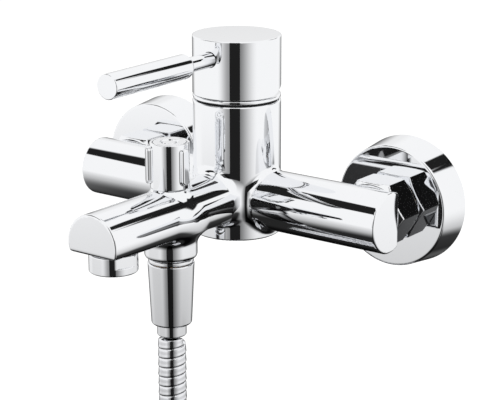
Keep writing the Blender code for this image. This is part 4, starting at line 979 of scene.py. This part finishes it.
@dataclass
class Casting:
    """The one-piece body: trunk, arms, spout, boss and outlet stub. Sizes in millimetres."""

    step: float = 0.72
    trunk: float = 22.0
    trunk_low: float = -19.0
    trunk_high: float = 48.9
    arm: float = 15.0
    arm_reach: float = 90.9
    arm_back: float = -35.8
    spout: float = 14.6
    underside: float = -5.2
    fall: float = math.tan(math.radians(2.4))
    stub: float = 12.9
    stub_rim: float = 2.2
    stub_low: float = -19.9
    boss: float = 8.7
    boss_high: float = 14.9
    rim: float = 0.9
    arm_fillet: float = 3.0
    fillet: float = 4.0
    stub_fillet: float = 6.0
    boss_fillet: float = 3.0
    edge: float = 0.3
    clear: float = 0.3
    cartridge_bore: float = 17.5
    cartridge_floor: float = 16.1
    clamp_bore: float = 20.0
    clamp_floor: float = 43.05
    diverter_bore: float = 7.25
    diverter_floor: float = -9.3
    outlet_bore: float = 6.2
    nipple_bore: float = 8.6
    aerator_bore: float = 10.6
    inlet_bore: float = 9.5
    inlet_deep: float = 7.0

    def outside(self, points: Grid) -> np.ndarray:
        """Distance to the casting's outer shape, its limbs joined to the trunk by fillets.

        Args:
            points: Places, in millimetres.

        Returns:
            Signed distances.
        """
        y, z = points[..., 1], points[..., 2]
        trunk_at = (0.0, PLACE.body_y / MM, 0.0)
        outlet_at = (0.0, PLACE.diverter_y / MM, 0.0)
        trunk = rod_distance(
            points, trunk_at, 2, self.trunk, self.trunk_low, self.trunk_high, self.rim
        )
        arm = rod_distance(
            points, trunk_at, 0, self.arm, -self.arm_reach, self.arm_reach, self.rim
        )
        arm = meet(arm, y - self.arm_back, self.rim)
        tip = PLACE.tip_y / MM
        spout = rod_distance(points, (0, 0, 0), 1, self.spout, tip, trunk_at[1], self.rim)
        flat = (self.underside - self.fall * (y - tip) - z) / math.hypot(1, self.fall)
        spout = meet(spout, flat, 1.6)
        boss = rod_distance(points, outlet_at, 2, self.boss, 0.0, self.boss_high, 0.4)
        stub = rod_distance(points, outlet_at, 2, self.stub, self.stub_low, 2.0, self.stub_rim)
        limb = blend_union(blend_union(spout, stub, self.stub_fillet), boss, self.boss_fillet)
        return blend_union(blend_union(trunk, arm, self.arm_fillet), limb, self.fillet)

    @cached_property
    def bores(self) -> list[tuple[Point, int, float, float, float]]:
        """Every bore, as a point on its axis, the axis, its radius and its two ends.

        Returns:
            The cartridge's two steps, the diverter's, the outlet's two, the aerator's and the
            two inlets'.
        """
        trunk_at = (0.0, PLACE.body_y / MM, 0.0)
        outlet_at = (0.0, PLACE.diverter_y / MM, 0.0)
        aerator_at = (0.0, PLACE.aerator_y / MM, 0.0)
        nipple_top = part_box("shower_outlet_nipple")[1][2] / MM + self.clear
        washer_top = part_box("aerator_washer")[1][2] / MM + self.clear
        found = [
            (trunk_at, 2, self.cartridge_bore, self.cartridge_floor, PAST),
            (trunk_at, 2, self.clamp_bore, self.clamp_floor, PAST),
            (outlet_at, 2, self.diverter_bore, self.diverter_floor, PAST),
            (outlet_at, 2, self.outlet_bore, -PAST, 0.0),
            (outlet_at, 2, self.nipple_bore, -PAST, nipple_top),
            (aerator_at, 2, self.aerator_bore, -PAST, washer_top),
        ]
        inlet_from = self.arm_back - self.inlet_deep
        for side in (-1, 1):
            inlet_at = (side * PLACE.inlet_x / MM, 0.0, 0.0)
            found.append((inlet_at, 1, self.inlet_bore, inlet_from, 0.0))
        return found

    def hollows(self, points: Grid) -> np.ndarray:
        """Distance to the nearest of the bores that the other pieces sit in."""
        return np.minimum.reduce([rod_distance(points, *bore, self.edge) for bore in self.bores])

    def build(self) -> None:
        """Make the casting."""

        def shape(points: Grid) -> np.ndarray:
            """The outer shape less its bores."""
            return meet(self.outside(points), -self.hollows(points), self.edge)

        back = PLACE.body_y / MM + self.trunk + 0.5
        low = (-self.arm_reach, PLACE.tip_y / MM, self.stub_low)
        high = (self.arm_reach, back, self.trunk_high)
        fit(skin("cast_body", shape, low, high, self.step), "mixer", CHROME, "mixer_body")


# --------------------------------------------------------------------------- the inlets


@dataclass
class Inlet:
    """One wall connection's visible pieces: the hexagon union nut and the wall flange."""

    side: int
    hand: str
    flats: float = 31.0
    nut_front: float = -35.5
    nut_back: float = -18.1
    bore: float = 9.5
    thread: float = 13.4
    lip: float = 3.2
    corner: float = 0.35
    edge: float = 0.3
    crown_in: float = 0.4
    chamfer: float = math.radians(30)
    cup_hole: float = 13.3
    cup_front: float = 30.3
    cup_foot: float = 32.2
    cup_deep: float = 17.4
    cup_wall: float = 1.5

    def nut_shape(self, points: Grid) -> np.ndarray:
        """Distance to a hexagon with chamfered corners, less its lip's hole and its thread.

        The hexagon is the meeting of six half-spaces turned 60 degrees apart; the chamfers are
        two cones that meet the corners 30 degrees off the end faces.

        Args:
            points: Places, in millimetres.

        Returns:
            Signed distances.
        """
        x = points[..., 0] - self.side * PLACE.inlet_x / MM
        y, z = points[..., 1], points[..., 2]
        sides = [
            x * math.cos(t) + z * math.sin(t) - self.flats / 2
            for t in (math.pi / 6 + k * math.pi / 3 for k in range(6))
        ]
        shape = sides[0]
        for other in sides[1:]:
            shape = meet(shape, other, self.corner)
        radius = np.hypot(x, z)
        crown = self.flats / 2 - self.crown_in
        slope = math.tan(self.chamfer)
        for face in (y - self.nut_back, self.nut_front - y):
            shape = meet(shape, face, self.edge)
            cone = ((radius - crown) * slope + face) / math.hypot(1, slope)
            shape = meet(shape, cone, self.edge)
        at = (self.side * PLACE.inlet_x / MM, 0.0, 0.0)
        hole = rod_distance(points, at, 1, self.bore, -PAST, 0, self.edge)
        mouth = self.nut_front + self.lip
        thread = rod_distance(points, at, 1, self.thread, mouth, 0, self.edge)
        return meet(shape, -np.minimum(hole, thread), self.edge)

    def flange_outline(self) -> np.ndarray:
        """A deep cup, its rim at the wall and its rounded face towards the room.

        Returns:
            The cup's outline, in metres.
        """
        floor = self.cup_deep - self.cup_wall
        corners = [
            (self.cup_hole, self.cup_deep, 0.4),
            (self.cup_front, self.cup_deep, 1.0),
            (self.cup_foot, 0.0, 0.3),
            (self.cup_foot - self.cup_wall, 0.0, 0.3),
            (self.cup_front - self.cup_wall, floor, 0.6),
            (self.cup_hole, floor, 0.4),
        ]
        return rounded([(r * MM, h * MM, e * MM) for r, h, e in corners], ring=True)

    def build(self) -> None:
        """Make the nut and the flange."""
        x = self.side * PLACE.inlet_x
        reach = self.flats / 2 / math.cos(math.pi / 6)
        low = (x / MM - reach, self.nut_front, -self.flats / 2)
        high = (x / MM + reach, self.nut_back, self.flats / 2)
        nut = skin(f"hexagon_nut_{self.hand}", self.nut_shape, low, high, 0.45)
        fit(nut, "mixer", CHROME, f"union_nut_{self.hand}")
        outline = self.flange_outline()
        name = f"flange_cup_{self.hand}"
        flange = turned(name, outline, (x, 0, 0), Axis.FORWARD, 128, ring=True)
        fit(flange, "mixer", CHROME, f"wall_flange_{self.hand}")


# --------------------------------------------------------------------------- the lever handle


@dataclass
class Handle:
    """The cover ring, the cylindrical cap and the lever's neck and grip."""

    cap: float = 22.0 * MM
    cap_low: float = 52.0 * MM
    cap_high: float = 81.0 * MM
    cap_bore: float = 19.0 * MM
    cap_hollow: float = 10.0 * MM
    lever_z: float = 71.6 * MM
    screw_z: float = 66.0 * MM
    tilt: float = math.radians(18)
    collar: float = 21.9 * MM
    collar_bore: float = 11.8 * MM
    collar_low: float = 50.0 * MM
    collar_high: float = 51.7 * MM
    skirt_radius: float = 19.7 * MM
    skirt_low: float = 48.6 * MM
    skirt_high: float = 49.95 * MM
    stem_half: float = 4.1 * MM
    stem_deep: float = 7.5 * MM
    relief_rise: float = 2.0 * MM
    relief_half: float = 50.0 * MM
    neck: float = 3.7 * MM
    neck_tail: float = 2.6 * MM
    neck_step: float = 82.0 * MM
    neck_hole: float = 4.0 * MM
    hole_from: float = 8.0 * MM
    grip: float = 6.0 * MM
    grip_mouth: float = 3.9 * MM
    grip_bore: float = 2.9 * MM
    grip_bore_deep: float = 11.3 * MM
    grip_nose: float = 2.4 * MM
    screw_hole: float = 2.3 * MM
    plug_hole: float = 3.2 * MM
    plug_from: float = 19.5 * MM
    tool_end: float = 30.0 * MM

    def cover(self) -> bpy.types.Object:
        """The soft-edged lip between trunk and cap.

        Returns:
            A new object.
        """
        corners = [
            (self.collar_bore, self.collar_high, 0.3 * MM),
            (self.collar, self.collar_high, 0.9 * MM),
            (self.collar, self.collar_low, 0.3 * MM),
            (self.collar_bore, self.collar_low, 0.3 * MM),
        ]
        outline = rounded(corners, ring=True)
        return turned("collar_ring", outline, (0, PLACE.body_y, 0), sides=128, ring=True)

    def skirt(self) -> bpy.types.Object:
        """The cover ring's skirt, dressed dark: painted shade, a dark ring that stands for the shadow
        line above the trunk.

        Returns:
            A new object.
        """
        corners = [
            (self.skirt_radius, self.skirt_high, 0.1 * MM),
            (self.skirt_radius, self.skirt_low, 0.2 * MM),
            (self.collar_bore, self.skirt_low, 0.2 * MM),
            (self.collar_bore, self.skirt_high, 0.1 * MM),
        ]
        outline = rounded(corners, 3, ring=True)
        return turned("collar_skirt", outline, (0, PLACE.body_y, 0), sides=96, ring=True)

    def cap_tools(self, roof: float) -> list[bpy.types.Object]:
        """What the cap loses: a slope for its tilt, the stem's socket and two round holes.

        Args:
            roof: Height of the cap's inner roof.

        Returns:
            Closed cutting shapes.
        """
        y, wide, half = PLACE.body_y, self.relief_half, self.stem_half
        pivot = (0, y, PLACE.pivot_z)
        relief = slab(
            "relief", (-wide, -wide, -wide), (wide, wide, self.relief_rise), self.tilt, pivot
        )
        foot, top = (-half, y - half, roof - MM), (half, y + half, roof + self.stem_deep)
        socket = slab("socket", foot, top)
        start, end = self.hole_from, self.tool_end
        neck = np.array([(0, start), (self.neck_hole, start), (self.neck_hole, end), (0, end)])
        neck_at, screw_at = (0, y, self.lever_z), (0, y, self.screw_z)
        screw = [
            (0, 0),
            (self.screw_hole, 0),
            (self.screw_hole, self.plug_from),
            (self.plug_hole, self.plug_from),
            (self.plug_hole, end),
            (0, end),
        ]
        return [
            relief,
            socket,
            turned("neck_hole", neck, neck_at, Axis.FORWARD, 64),
            turned("seat_hole", np.array(screw), screw_at, Axis.BACKWARD, 48),
        ]

    def cap_body(self) -> bpy.types.Object:
        """The cap: a cylinder with a fine edge, relieved behind so that it can tilt back.

        Returns:
            A new object.
        """
        roof = self.cap_low + self.cap_hollow
        outline = rounded(
            [
                (0, self.cap_high, 0),
                (self.cap, self.cap_high, 0.6 * MM),
                (self.cap, self.cap_low, 0.3 * MM),
                (self.cap_bore, self.cap_low, 0.3 * MM),
                (self.cap_bore, roof, 0.3 * MM),
                (0, roof, 0),
            ]
        )
        cap = turned("cylinder_cap", outline, (0, PLACE.body_y, 0), sides=160)
        carve(cap, self.cap_tools(roof), "DIFFERENCE")
        return cap

    def lever(self) -> tuple[bpy.types.Object, bpy.types.Object]:
        """The slim neck and the round grip, thicker towards its end.

        Returns:
            The neck and the grip.
        """
        low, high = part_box("lever_neck")
        grip_low, grip_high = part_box("lever_grip")
        centre = (0, 0, self.lever_z)
        neck = [
            (0, -high[1], 0),
            (self.neck, -high[1], 0.3 * MM),
            (self.neck, self.neck_step, 0.2 * MM),
            (self.neck_tail, self.neck_step, 0.2 * MM),
            (self.neck_tail, -low[1], 0.4 * MM),
            (0, -low[1], 0),
        ]
        start, stop = -grip_high[1], -grip_low[1]
        floor = start + self.grip_bore_deep
        grip = [
            (0, floor, 0),
            (self.grip_bore, floor, 0.2 * MM),
            (self.grip_bore, start, 0.2 * MM),
            (self.grip_mouth, start, 0.5 * MM),
            (self.grip, start + self.grip_nose, 1.6 * MM),
            (self.grip, stop, 0.5 * MM),
            (0, stop, 0),
        ]
        return (
            turned("lever_shank", rounded(neck), centre, Axis.FORWARD, 64),
            turned("lever_handgrip", rounded(grip, 7), centre, Axis.FORWARD, 96),
        )

    def plug(self) -> bpy.types.Object:
        """The small domed plug over the set screw, at the cap's back.

        Returns:
            A new object.
        """
        low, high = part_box("set_screw_plug")
        radius, back, front = (high[0] - low[0]) / 2, high[1], low[1]
        corners = [
            (0, front, 0),
            (radius, front, 0.2 * MM),
            (radius, back, 0.6 * MM),
            (0, back, 0),
        ]
        at = (0, 0, self.screw_z)
        return turned("rear_plug", rounded(corners), at, Axis.BACKWARD, 48)

    def build(self) -> None:
        """Make the ring, the cap, the lever and the plug."""
        fit(self.cover(), "mixer", CHROME, "cover_ring")
        # The skirt's dark rubber finish is painted shade: it stands for the shadow gap under the
        # cover ring's lip
        fit(self.skirt(), "mixer", RUBBER, "cover_ring")
        fit(self.cap_body(), "lever", CHROME, "handle_cap")
        neck, grip = self.lever()
        fit(neck, "lever", CHROME, "lever_neck")
        fit(grip, "lever", CHROME, "lever_grip")
        fit(self.plug(), "lever", CHROME, "set_screw_plug")


# --------------------------------------------------------------------------- the diverter knob


@dataclass
class Knob:
    """The diverter's knob with three raised grips, and its inset disc."""

    radius: float = 9.6
    low: float = 15.2
    high: float = 37.4
    pads: int = 3
    pad_half: float = 2.2
    pad_length: float = 18.0
    pad_proud: float = 2.1
    pad_start: float = math.radians(-8.0)
    pad_lift: float = 0.3
    pad_edge: float = 0.9
    pad_fillet: float = 0.5
    edge: float = 0.4
    hollow: float = 6.3
    hollow_top: float = 28.0
    recess: float = 8.3
    recess_floor: float = 35.6
    screw: float = 3.6
    screw_floor: float = 30.0
    disc_radius: float = 8.0
    groove_in: float = 3.5
    groove_out: float = 4.3
    groove_deep: float = 0.9
    dish_deep: float = 0.25

    def shape(self, points: Grid) -> np.ndarray:
        """Distance to the knob: a cylinder with three upright capsules, hollow below.

        Args:
            points: Places, in millimetres.

        Returns:
            Signed distances.
        """
        at = (0.0, PLACE.diverter_y / MM, 0.0)
        knob = rod_distance(points, at, 2, self.radius, self.low, self.high, self.edge)
        middle = (self.low + self.high) / 2 + self.pad_lift
        half = self.pad_length / 2 - self.pad_half
        x, y = points[..., 0] - at[0], points[..., 1] - at[1]
        rise = np.maximum(np.abs(points[..., 2] - middle) - half, 0)
        for k in range(self.pads):
            t = self.pad_start + k * TAU / self.pads
            out = x * math.cos(t) + y * math.sin(t)
            side = -x * math.sin(t) + y * math.cos(t)
            pill = np.hypot(side, rise) - self.pad_half
            face = np.abs(out - self.radius / 2) - (self.radius / 2 + self.pad_proud)
            knob = blend_union(knob, meet(pill, face, self.pad_edge), self.pad_fillet)
        holes = [
            rod_distance(points, at, 2, self.hollow, -PAST, self.hollow_top, 0.3),
            rod_distance(points, at, 2, self.recess, self.recess_floor, PAST, 0.2),
            rod_distance(points, at, 2, self.screw, self.screw_floor, PAST, 0.3),
        ]
        return meet(knob, -np.minimum.reduce(holes), 0.35)

    def disc(self) -> bpy.types.Object:
        """The inset disc: a flat rim, a fine groove and a slightly dished middle.

        Returns:
            A new object.
        """
        low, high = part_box("diverter_knob_disc")
        top, foot = high[2] / MM, low[2] / MM
        dish, floor = top - self.dish_deep, top - self.groove_deep
        corners = [
            (0, dish, 0),
            (self.groove_in - 0.6, dish, 0.5),
            (self.groove_in, floor, 0.2),
            (self.groove_out, floor, 0.2),
            (self.groove_out + 0.4, top, 0.2),
            (self.disc_radius, top, 0.2),
            (self.disc_radius, foot, 0.2),
            (0, foot, 0),
        ]
        outline = rounded([(r * MM, h * MM, e * MM) for r, h, e in corners])
        return turned("knob_badge_disc", outline, (0, PLACE.diverter_y, 0), sides=96)

    def build(self) -> None:
        """Make the knob and its disc."""
        reach = self.radius + self.pad_proud
        y = PLACE.diverter_y / MM
        low, high = (-reach, y - reach, self.low), (reach, y + reach, self.high)
        knob = skin("diverter_handwheel", self.shape, low, high, FINE_STEP)
        fit(knob, "diverter", CHROME, "diverter_knob")
        fit(self.disc(), "diverter", CHROME, "diverter_knob_disc")


# --------------------------------------------------------------------------- the outlets


@dataclass
class Aerator:
    """The aerator's housing, a lipped tube with two flats for a wrench. Sizes in millimetres."""

    radius: float = 11.6
    shoulder: float = 8.9
    thread: float = 10.3
    bore: float = 9.2
    mouth: float = 8.2
    lip: float = 1.2
    flat: float = 10.6
    flat_high: float = 3.8
    turn: float = math.radians(-20.0)

    @cached_property
    def ends(self) -> tuple[float, float]:
        """The housing's foot and top in the frame."""
        low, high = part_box("aerator_housing")
        return low[2] / MM, high[2] / MM

    def shape(self, points: Grid) -> np.ndarray:
        """Distance to the housing: a lipped tube with two flats near its foot.

        Args:
            points: Places, in millimetres.

        Returns:
            Signed distances.
        """
        foot, top = self.ends
        at = (0.0, PLACE.aerator_y / MM, 0.0)
        body = rod_distance(points, at, 2, self.radius, foot, foot + self.shoulder, 0.6)
        thread = rod_distance(points, at, 2, self.thread, foot, top, 0.3)
        x, y = points[..., 0] - at[0], points[..., 1] - at[1]
        across = np.abs(x * math.cos(self.turn) + y * math.sin(self.turn)) - self.flat
        above = foot + self.flat_high - points[..., 2]
        body = meet(body, np.minimum(across, -above), 0.25)
        body = np.minimum(body, thread)
        bore = rod_distance(points, at, 2, self.bore, foot + self.lip, PAST, 0.2)
        mouth = rod_distance(points, at, 2, self.mouth, -PAST, PAST, 0.2)
        return meet(body, -np.minimum(bore, mouth), 0.3)

    def build(self) -> None:
        """Make the housing."""
        foot, top = self.ends
        reach, y = self.radius, PLACE.aerator_y / MM
        low, high = (-reach, y - reach, foot), (reach, y + reach, top)
        shell = skin("aerator_shell", self.shape, low, high, FINE_STEP)
        fit(shell, "mixer", CHROME, "aerator_housing")


@dataclass
class ShowerOutlet:
    """The trim ring under the stub, the hose's conical nut and its ferrule."""

    ring: float = 11.0 * MM
    ring_bore: float = 9.7 * MM

    def build(self) -> None:
        """Make the ring, the nut and the ferrule."""
        at = (0, PLACE.diverter_y)
        low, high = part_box("shower_outlet_ring")
        corners = [
            (self.ring_bore, high[2], 0.2 * MM),
            (self.ring, high[2], 0.5 * MM),
            (self.ring, low[2], 0.5 * MM),
            (self.ring_bore, low[2], 0.2 * MM),
        ]
        outline = rounded(corners, ring=True)
        ring = turned("outlet_trim_ring", outline, (*at, 0), sides=96, ring=True)
        fit(ring, "mixer", CHROME, "shower_outlet_ring")
        low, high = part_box("hose_nut")
        nut = FITTINGS.nut("conical_hose_nut", (*at, high[2]), Axis.DOWN, high[2] - low[2])
        fit(nut, "mixer", CHROME, "hose_nut")
        low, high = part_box("hose_ferrule")
        sleeve = FITTINGS.ferrule("hose_sleeve", (*at, high[2]), Axis.DOWN, high[2] - low[2])
        fit(sleeve, "mixer", CHROME, "hose_ferrule")


@dataclass
class ValveSpring:
    """The check valve's coil spring, which the opening valve presses shorter."""

    radius: float = 3.4 * MM
    wire: float = 0.4 * MM
    turns: int = 4
    sides: int = 10
    travel: float = 3.0 * MM

    def build(self) -> None:
        """Make the spring, which moves with the poppet as one piece.

        The wire's middle at angle a is (r cos a, r sin a, low + (high - low) a / (turns tau)).
        """
        low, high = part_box("check_valve_spring")
        a = np.linspace(0, TAU * self.turns, 24 * self.turns + 1)
        out = np.stack((np.cos(a), np.sin(a), 0 * a), -1)
        up = np.array((0.0, 0.0, 1.0))
        rise = np.linspace(low[2] + self.wire, high[2] - self.wire, len(a))
        middle = np.array((0, PLACE.diverter_y, 0)) + self.radius * out + rise[:, None] * up
        b = np.linspace(0, TAU, self.sides, endpoint=False)[:, None]
        section = self.wire * (np.cos(b) * out[:, None] + np.sin(b) * up)
        rings = middle[:, None] + section
        spring = closed_mesh("valve_spring", rings, middle[0], middle[-1])
        fit(spring, "poppet", STEEL, "check_valve_spring")
        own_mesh(spring)


# --------------------------------------------------------------------------- the studio


@dataclass(frozen=True)
class Flag:
    """A dark patch on the light tent, as degrees of azimuth and elevation seen from the mixer.

    Azimuth is 0 straight out from the wall and grows towards +X. The two soft values are how
    far its left and right edges fade, and depth is how much of the light it takes.
    """

    left: float
    right: float
    low: float
    high: float
    depth: float = 1.0
    soft_left: float = 0.8
    soft_right: float = 0.8
    soft_rise: float = 0.8


@dataclass
class Tent:
    """A glowing tent round the mixer that only reflections see, with its dark flags.

    The light fades out between two elevations below, and towards the way behind the mixer
    between two angles off it. All angles are in degrees.
    """

    middle: Point = (0.0, -0.08, 0.0)
    radius: float = 0.80
    floor_z: float = -0.352
    table_thick: float = 0.0002
    behind: Point = (-0.527, 0.719, -0.453)
    dark_below: tuple[float, float] = (-50.0, -10.0)
    dusk: tuple[float, float] = (46.0, 12.0)
    flags: tuple[Flag, ...] = (
        # A tall dark strip with a fading edge to each side: the stripe up every upright side
        Flag(19.0, 47.5, -70, 48, 0.985),
        Flag(47.5, 66.0, -70, 15, 0.86, 0.5, 30.0, 4.0),
        Flag(2.0, 19.0, -70, 15, 0.66, 17.0, 0.5, 4.0),
        # High in front: the stripes along the arms
        Flag(-85.0, -15.0, 35, 56, 0.985, 4.0, 4.0),
        # High towards the wall: the stripes along the spout, the lever and the flanges' sides
        Flag(143.0, 178.0, 23.5, 33, 0.985, 1.0, 3.0),
        Flag(146.0, 158.0, 32.0, 43, 0.985, 1.0, 1.0),
        # Light greys: the cap's top, the nuts' upper flats, and the faces that look forward
        Flag(-160.0, -128.0, 6.0, 26.0, 0.10, 8.0, 8.0, 6.0),
        Flag(20.0, 50.0, 14.0, 30.0, 0.60, 6.0, 6.0, 4.0),
        Flag(-70.0, -12.0, -27, -13, 0.12, 8.0, 8.0, 4.0),
        # Low towards the wall: the undersides
        Flag(100.0, 180.0, -60, -30, 0.9, 10.0, 10.0, 3.0),
    )

    def span(
        self,
        tree: bpy.types.NodeTree,
        value: bpy.types.NodeSocket,
        ends: tuple[float, float],
        soft: tuple[float, float],
    ) -> bpy.types.NodeSocket:
        """A mask that is one between two angles and fades past each of them.

        Args:
            tree: The tent's nodes.
            value: The angle, in radians.
            ends: The two angles, in degrees.
            soft: How far each end fades, in degrees.

        Returns:
            The mask's socket.
        """
        up, down = (
            add_node(
                tree,
                "ShaderNodeMapRange",
                {"interpolation_type": "SMOOTHSTEP"},
                _0=value,
                _1=math.radians(end - fade),
                _2=math.radians(end + fade),
                _3=start,
                _4=1.0 - start,
            )
            for end, fade, start in zip(ends, soft, (0.0, 1.0))
        )
        both = add_node(
            tree, "ShaderNodeMath", {"operation": "MULTIPLY"}, _0=up.outputs[0], _1=down.outputs[0]
        )
        return both.outputs[0]

    def angle_round(
        self, tree: bpy.types.NodeTree, way: bpy.types.NodeSocket, centre: float
    ) -> bpy.types.NodeSocket:
        """The azimuth of a direction, measured from a flag's own middle so that it never wraps.

        Args:
            tree: The tent's nodes.
            way: The direction, a unit vector.
            centre: The flag's middle, in degrees.

        Returns:
            The azimuth's socket, in radians.
        """
        a = math.radians(centre)
        dots = [
            add_node(tree, "ShaderNodeVectorMath", {"operation": "DOT_PRODUCT"}, _0=way, _1=axis)
            for axis in ((math.cos(a), math.sin(a), 0.0), (math.sin(a), -math.cos(a), 0.0))
        ]
        turned_by = add_node(
            tree,
            "ShaderNodeMath",
            {"operation": "ARCTAN2"},
            _0=dots[0].outputs["Value"],
            _1=dots[1].outputs["Value"],
        )
        return turned_by.outputs[0]

    def material(self) -> bpy.types.Material:
        """The tent's light: white, fading to dark below and straight behind, less its flags.

        Returns:
            The material.
        """
        made = bpy.data.materials.new("light_tent")
        made.use_nodes = True
        tree = made.node_tree
        tree.nodes.remove(tree.nodes["Principled BSDF"])
        place = add_node(tree, "ShaderNodeNewGeometry").outputs["Position"]
        offset = add_node(
            tree, "ShaderNodeVectorMath", {"operation": "SUBTRACT"}, _0=place, _1=self.middle
        )
        way = add_node(
            tree, "ShaderNodeVectorMath", {"operation": "NORMALIZE"}, _0=offset.outputs[0]
        ).outputs[0]
        height = add_node(tree, "ShaderNodeSeparateXYZ", _0=way).outputs["Z"]
        rise = add_node(tree, "ShaderNodeMath", {"operation": "ARCSINE"}, _0=height).outputs[0]
        light = add_node(
            tree,
            "ShaderNodeMapRange",
            {"interpolation_type": "SMOOTHSTEP"},
            _0=rise,
            _1=math.radians(self.dark_below[0]),
            _2=math.radians(self.dark_below[1]),
            _3=0.02,
            _4=1.0,
        ).outputs[0]
        nearness = add_node(
            tree, "ShaderNodeVectorMath", {"operation": "DOT_PRODUCT"}, _0=way, _1=self.behind
        )
        dusk = add_node(
            tree,
            "ShaderNodeMapRange",
            {"interpolation_type": "SMOOTHSTEP"},
            _0=nearness.outputs["Value"],
            _1=math.cos(math.radians(self.dusk[0])),
            _2=math.cos(math.radians(self.dusk[1])),
            _3=1.0,
            _4=0.03,
        ).outputs[0]
        factors = [dusk]
        for flag in self.flags:
            centre = (flag.left + flag.right) / 2
            across = self.span(
                tree,
                self.angle_round(tree, way, centre),
                (flag.left - centre, flag.right - centre),
                (flag.soft_left, flag.soft_right),
            )
            along = self.span(tree, rise, (flag.low, flag.high), (flag.soft_rise, flag.soft_rise))
            mask = add_node(
                tree, "ShaderNodeMath", {"operation": "MULTIPLY"}, _0=across, _1=along
            ).outputs[0]
            left = add_node(
                tree, "ShaderNodeMath", {"operation": "MULTIPLY_ADD"}, _0=mask, _1=-flag.depth, _2=1.0
            )
            factors.append(left.outputs[0])
        for factor in factors:
            light = add_node(
                tree, "ShaderNodeMath", {"operation": "MULTIPLY"}, _0=light, _1=factor
            ).outputs[0]
        glow = add_node(tree, "ShaderNodeEmission", Strength=light)
        tree.links.new(glow.outputs[0], tree.nodes["Material Output"].inputs["Surface"])
        return made

    def build(self) -> None:
        """Make the tent: a sphere, and a disc where it stands on the floor."""
        light = self.material()
        r = self.radius
        t = np.linspace(0, math.pi, 33)
        ball = np.stack((r * np.sin(t), r * np.cos(t)), -1)
        ball[[0, -1], 0] = 0
        top, foot = self.floor_z, self.floor_z - self.table_thick
        disc = np.array([(0, top), (r, top), (r, foot), (0, foot)])
        for name, outline, z in (("light_tent", ball, self.middle[2]), ("tent_table", disc, 0.0)):
            item = turned(name, outline, (*self.middle[:2], z), sides=64)
            item.data.materials.append(light)
            item.visible_camera = False
            item.visible_shadow = False
            item.visible_diffuse = False


@dataclass
class Studio:
    """A white floor, a bright surround, a soft lamp and the light tent."""

    floor_z: float = -0.3525
    floor_half: float = 30.0
    floor_glow: float = 0.28
    surround: float = 0.85
    lamp_place: Point = (1.2, -1.6, 1.8)
    lamp_side: float = 1.2
    lamp_watts: float = 22.0

    def floor(self) -> None:
        """A broad matt white floor under the hose's end."""
        mesh = bpy.data.meshes.new("floor")
        side = self.floor_half
        corners = [(-side, -side, 0), (side, -side, 0), (side, side, 0), (-side, side, 0)]
        mesh.from_pydata(corners, [], [(0, 1, 2, 3)])
        floor = bpy.data.objects.new("floor", mesh)
        floor.location.z = self.floor_z
        made = bpy.data.materials.new("matt_white_floor")
        made.use_nodes = True
        shader = made.node_tree.nodes["Principled BSDF"]
        shader.inputs["Base Color"].default_value = linear("#F2F2F2")
        shader.inputs["Roughness"].default_value = 1.0
        shader.inputs["Specular IOR Level"].default_value = 0.0
        shader.inputs["Emission Color"].default_value = linear("#FFFFFF")
        shader.inputs["Emission Strength"].default_value = self.floor_glow
        mesh.materials.append(made)
        bpy.context.scene.collection.objects.link(floor)

    def lamp(self) -> None:
        """A soft square lamp aimed at the mixer."""
        data = bpy.data.lights.new("key", "AREA")
        data.size, data.energy = self.lamp_side, self.lamp_watts
        item = bpy.data.objects.new("key", data)
        item.location = self.lamp_place
        item.rotation_euler = (-Vector(self.lamp_place)).to_track_quat("-Z", "Y").to_euler()
        bpy.context.scene.collection.objects.link(item)

    def build(self) -> None:
        """Set the surround and make the floor, the lamp and the tent."""
        world = bpy.data.worlds.new("surround")
        world.use_nodes = True
        shade = world.node_tree.nodes["Background"]
        shade.inputs["Color"].default_value = linear("#FFFFFF")
        shade.inputs["Strength"].default_value = self.surround
        bpy.context.scene.world = world
        bpy.context.scene.view_settings.view_transform = "Standard"
        self.floor()
        self.lamp()
        Tent().build()


# --------------------------------------------------------------------------- the whole scene


def dress_inner_pieces() -> None:
    """Give the pieces that keep their frame's own shape the finish of their slot."""
    for name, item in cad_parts.items():
        for slot in item.material_slots:
            named = slot.material.name if slot.material else ""
            key = next((k for k in SLOT_FINISHES if k in named), None)
            if key is None:
                LOG.info("%s: no finish for %s", name, slot.material)
                continue
            slot.material = SLOT_FINISHES[key].material()


def main() -> None:
    """Build the camera, the hose and every sub-assembly, then the studio round them."""
    logging.basicConfig(level=logging.INFO, format="%(name)s %(message)s")
    Viewpoint().build()
    Hose().build()
    Casting().build()
    for side, hand in ((-1, "left"), (1, "right")):
        Inlet(side, hand).build()
    Handle().build()
    Knob().build()
    Aerator().build()
    ShowerOutlet().build()
    ValveSpring().build()
    dress_inner_pieces()
    Studio().build()


if __name__ == "__main__":
    main()
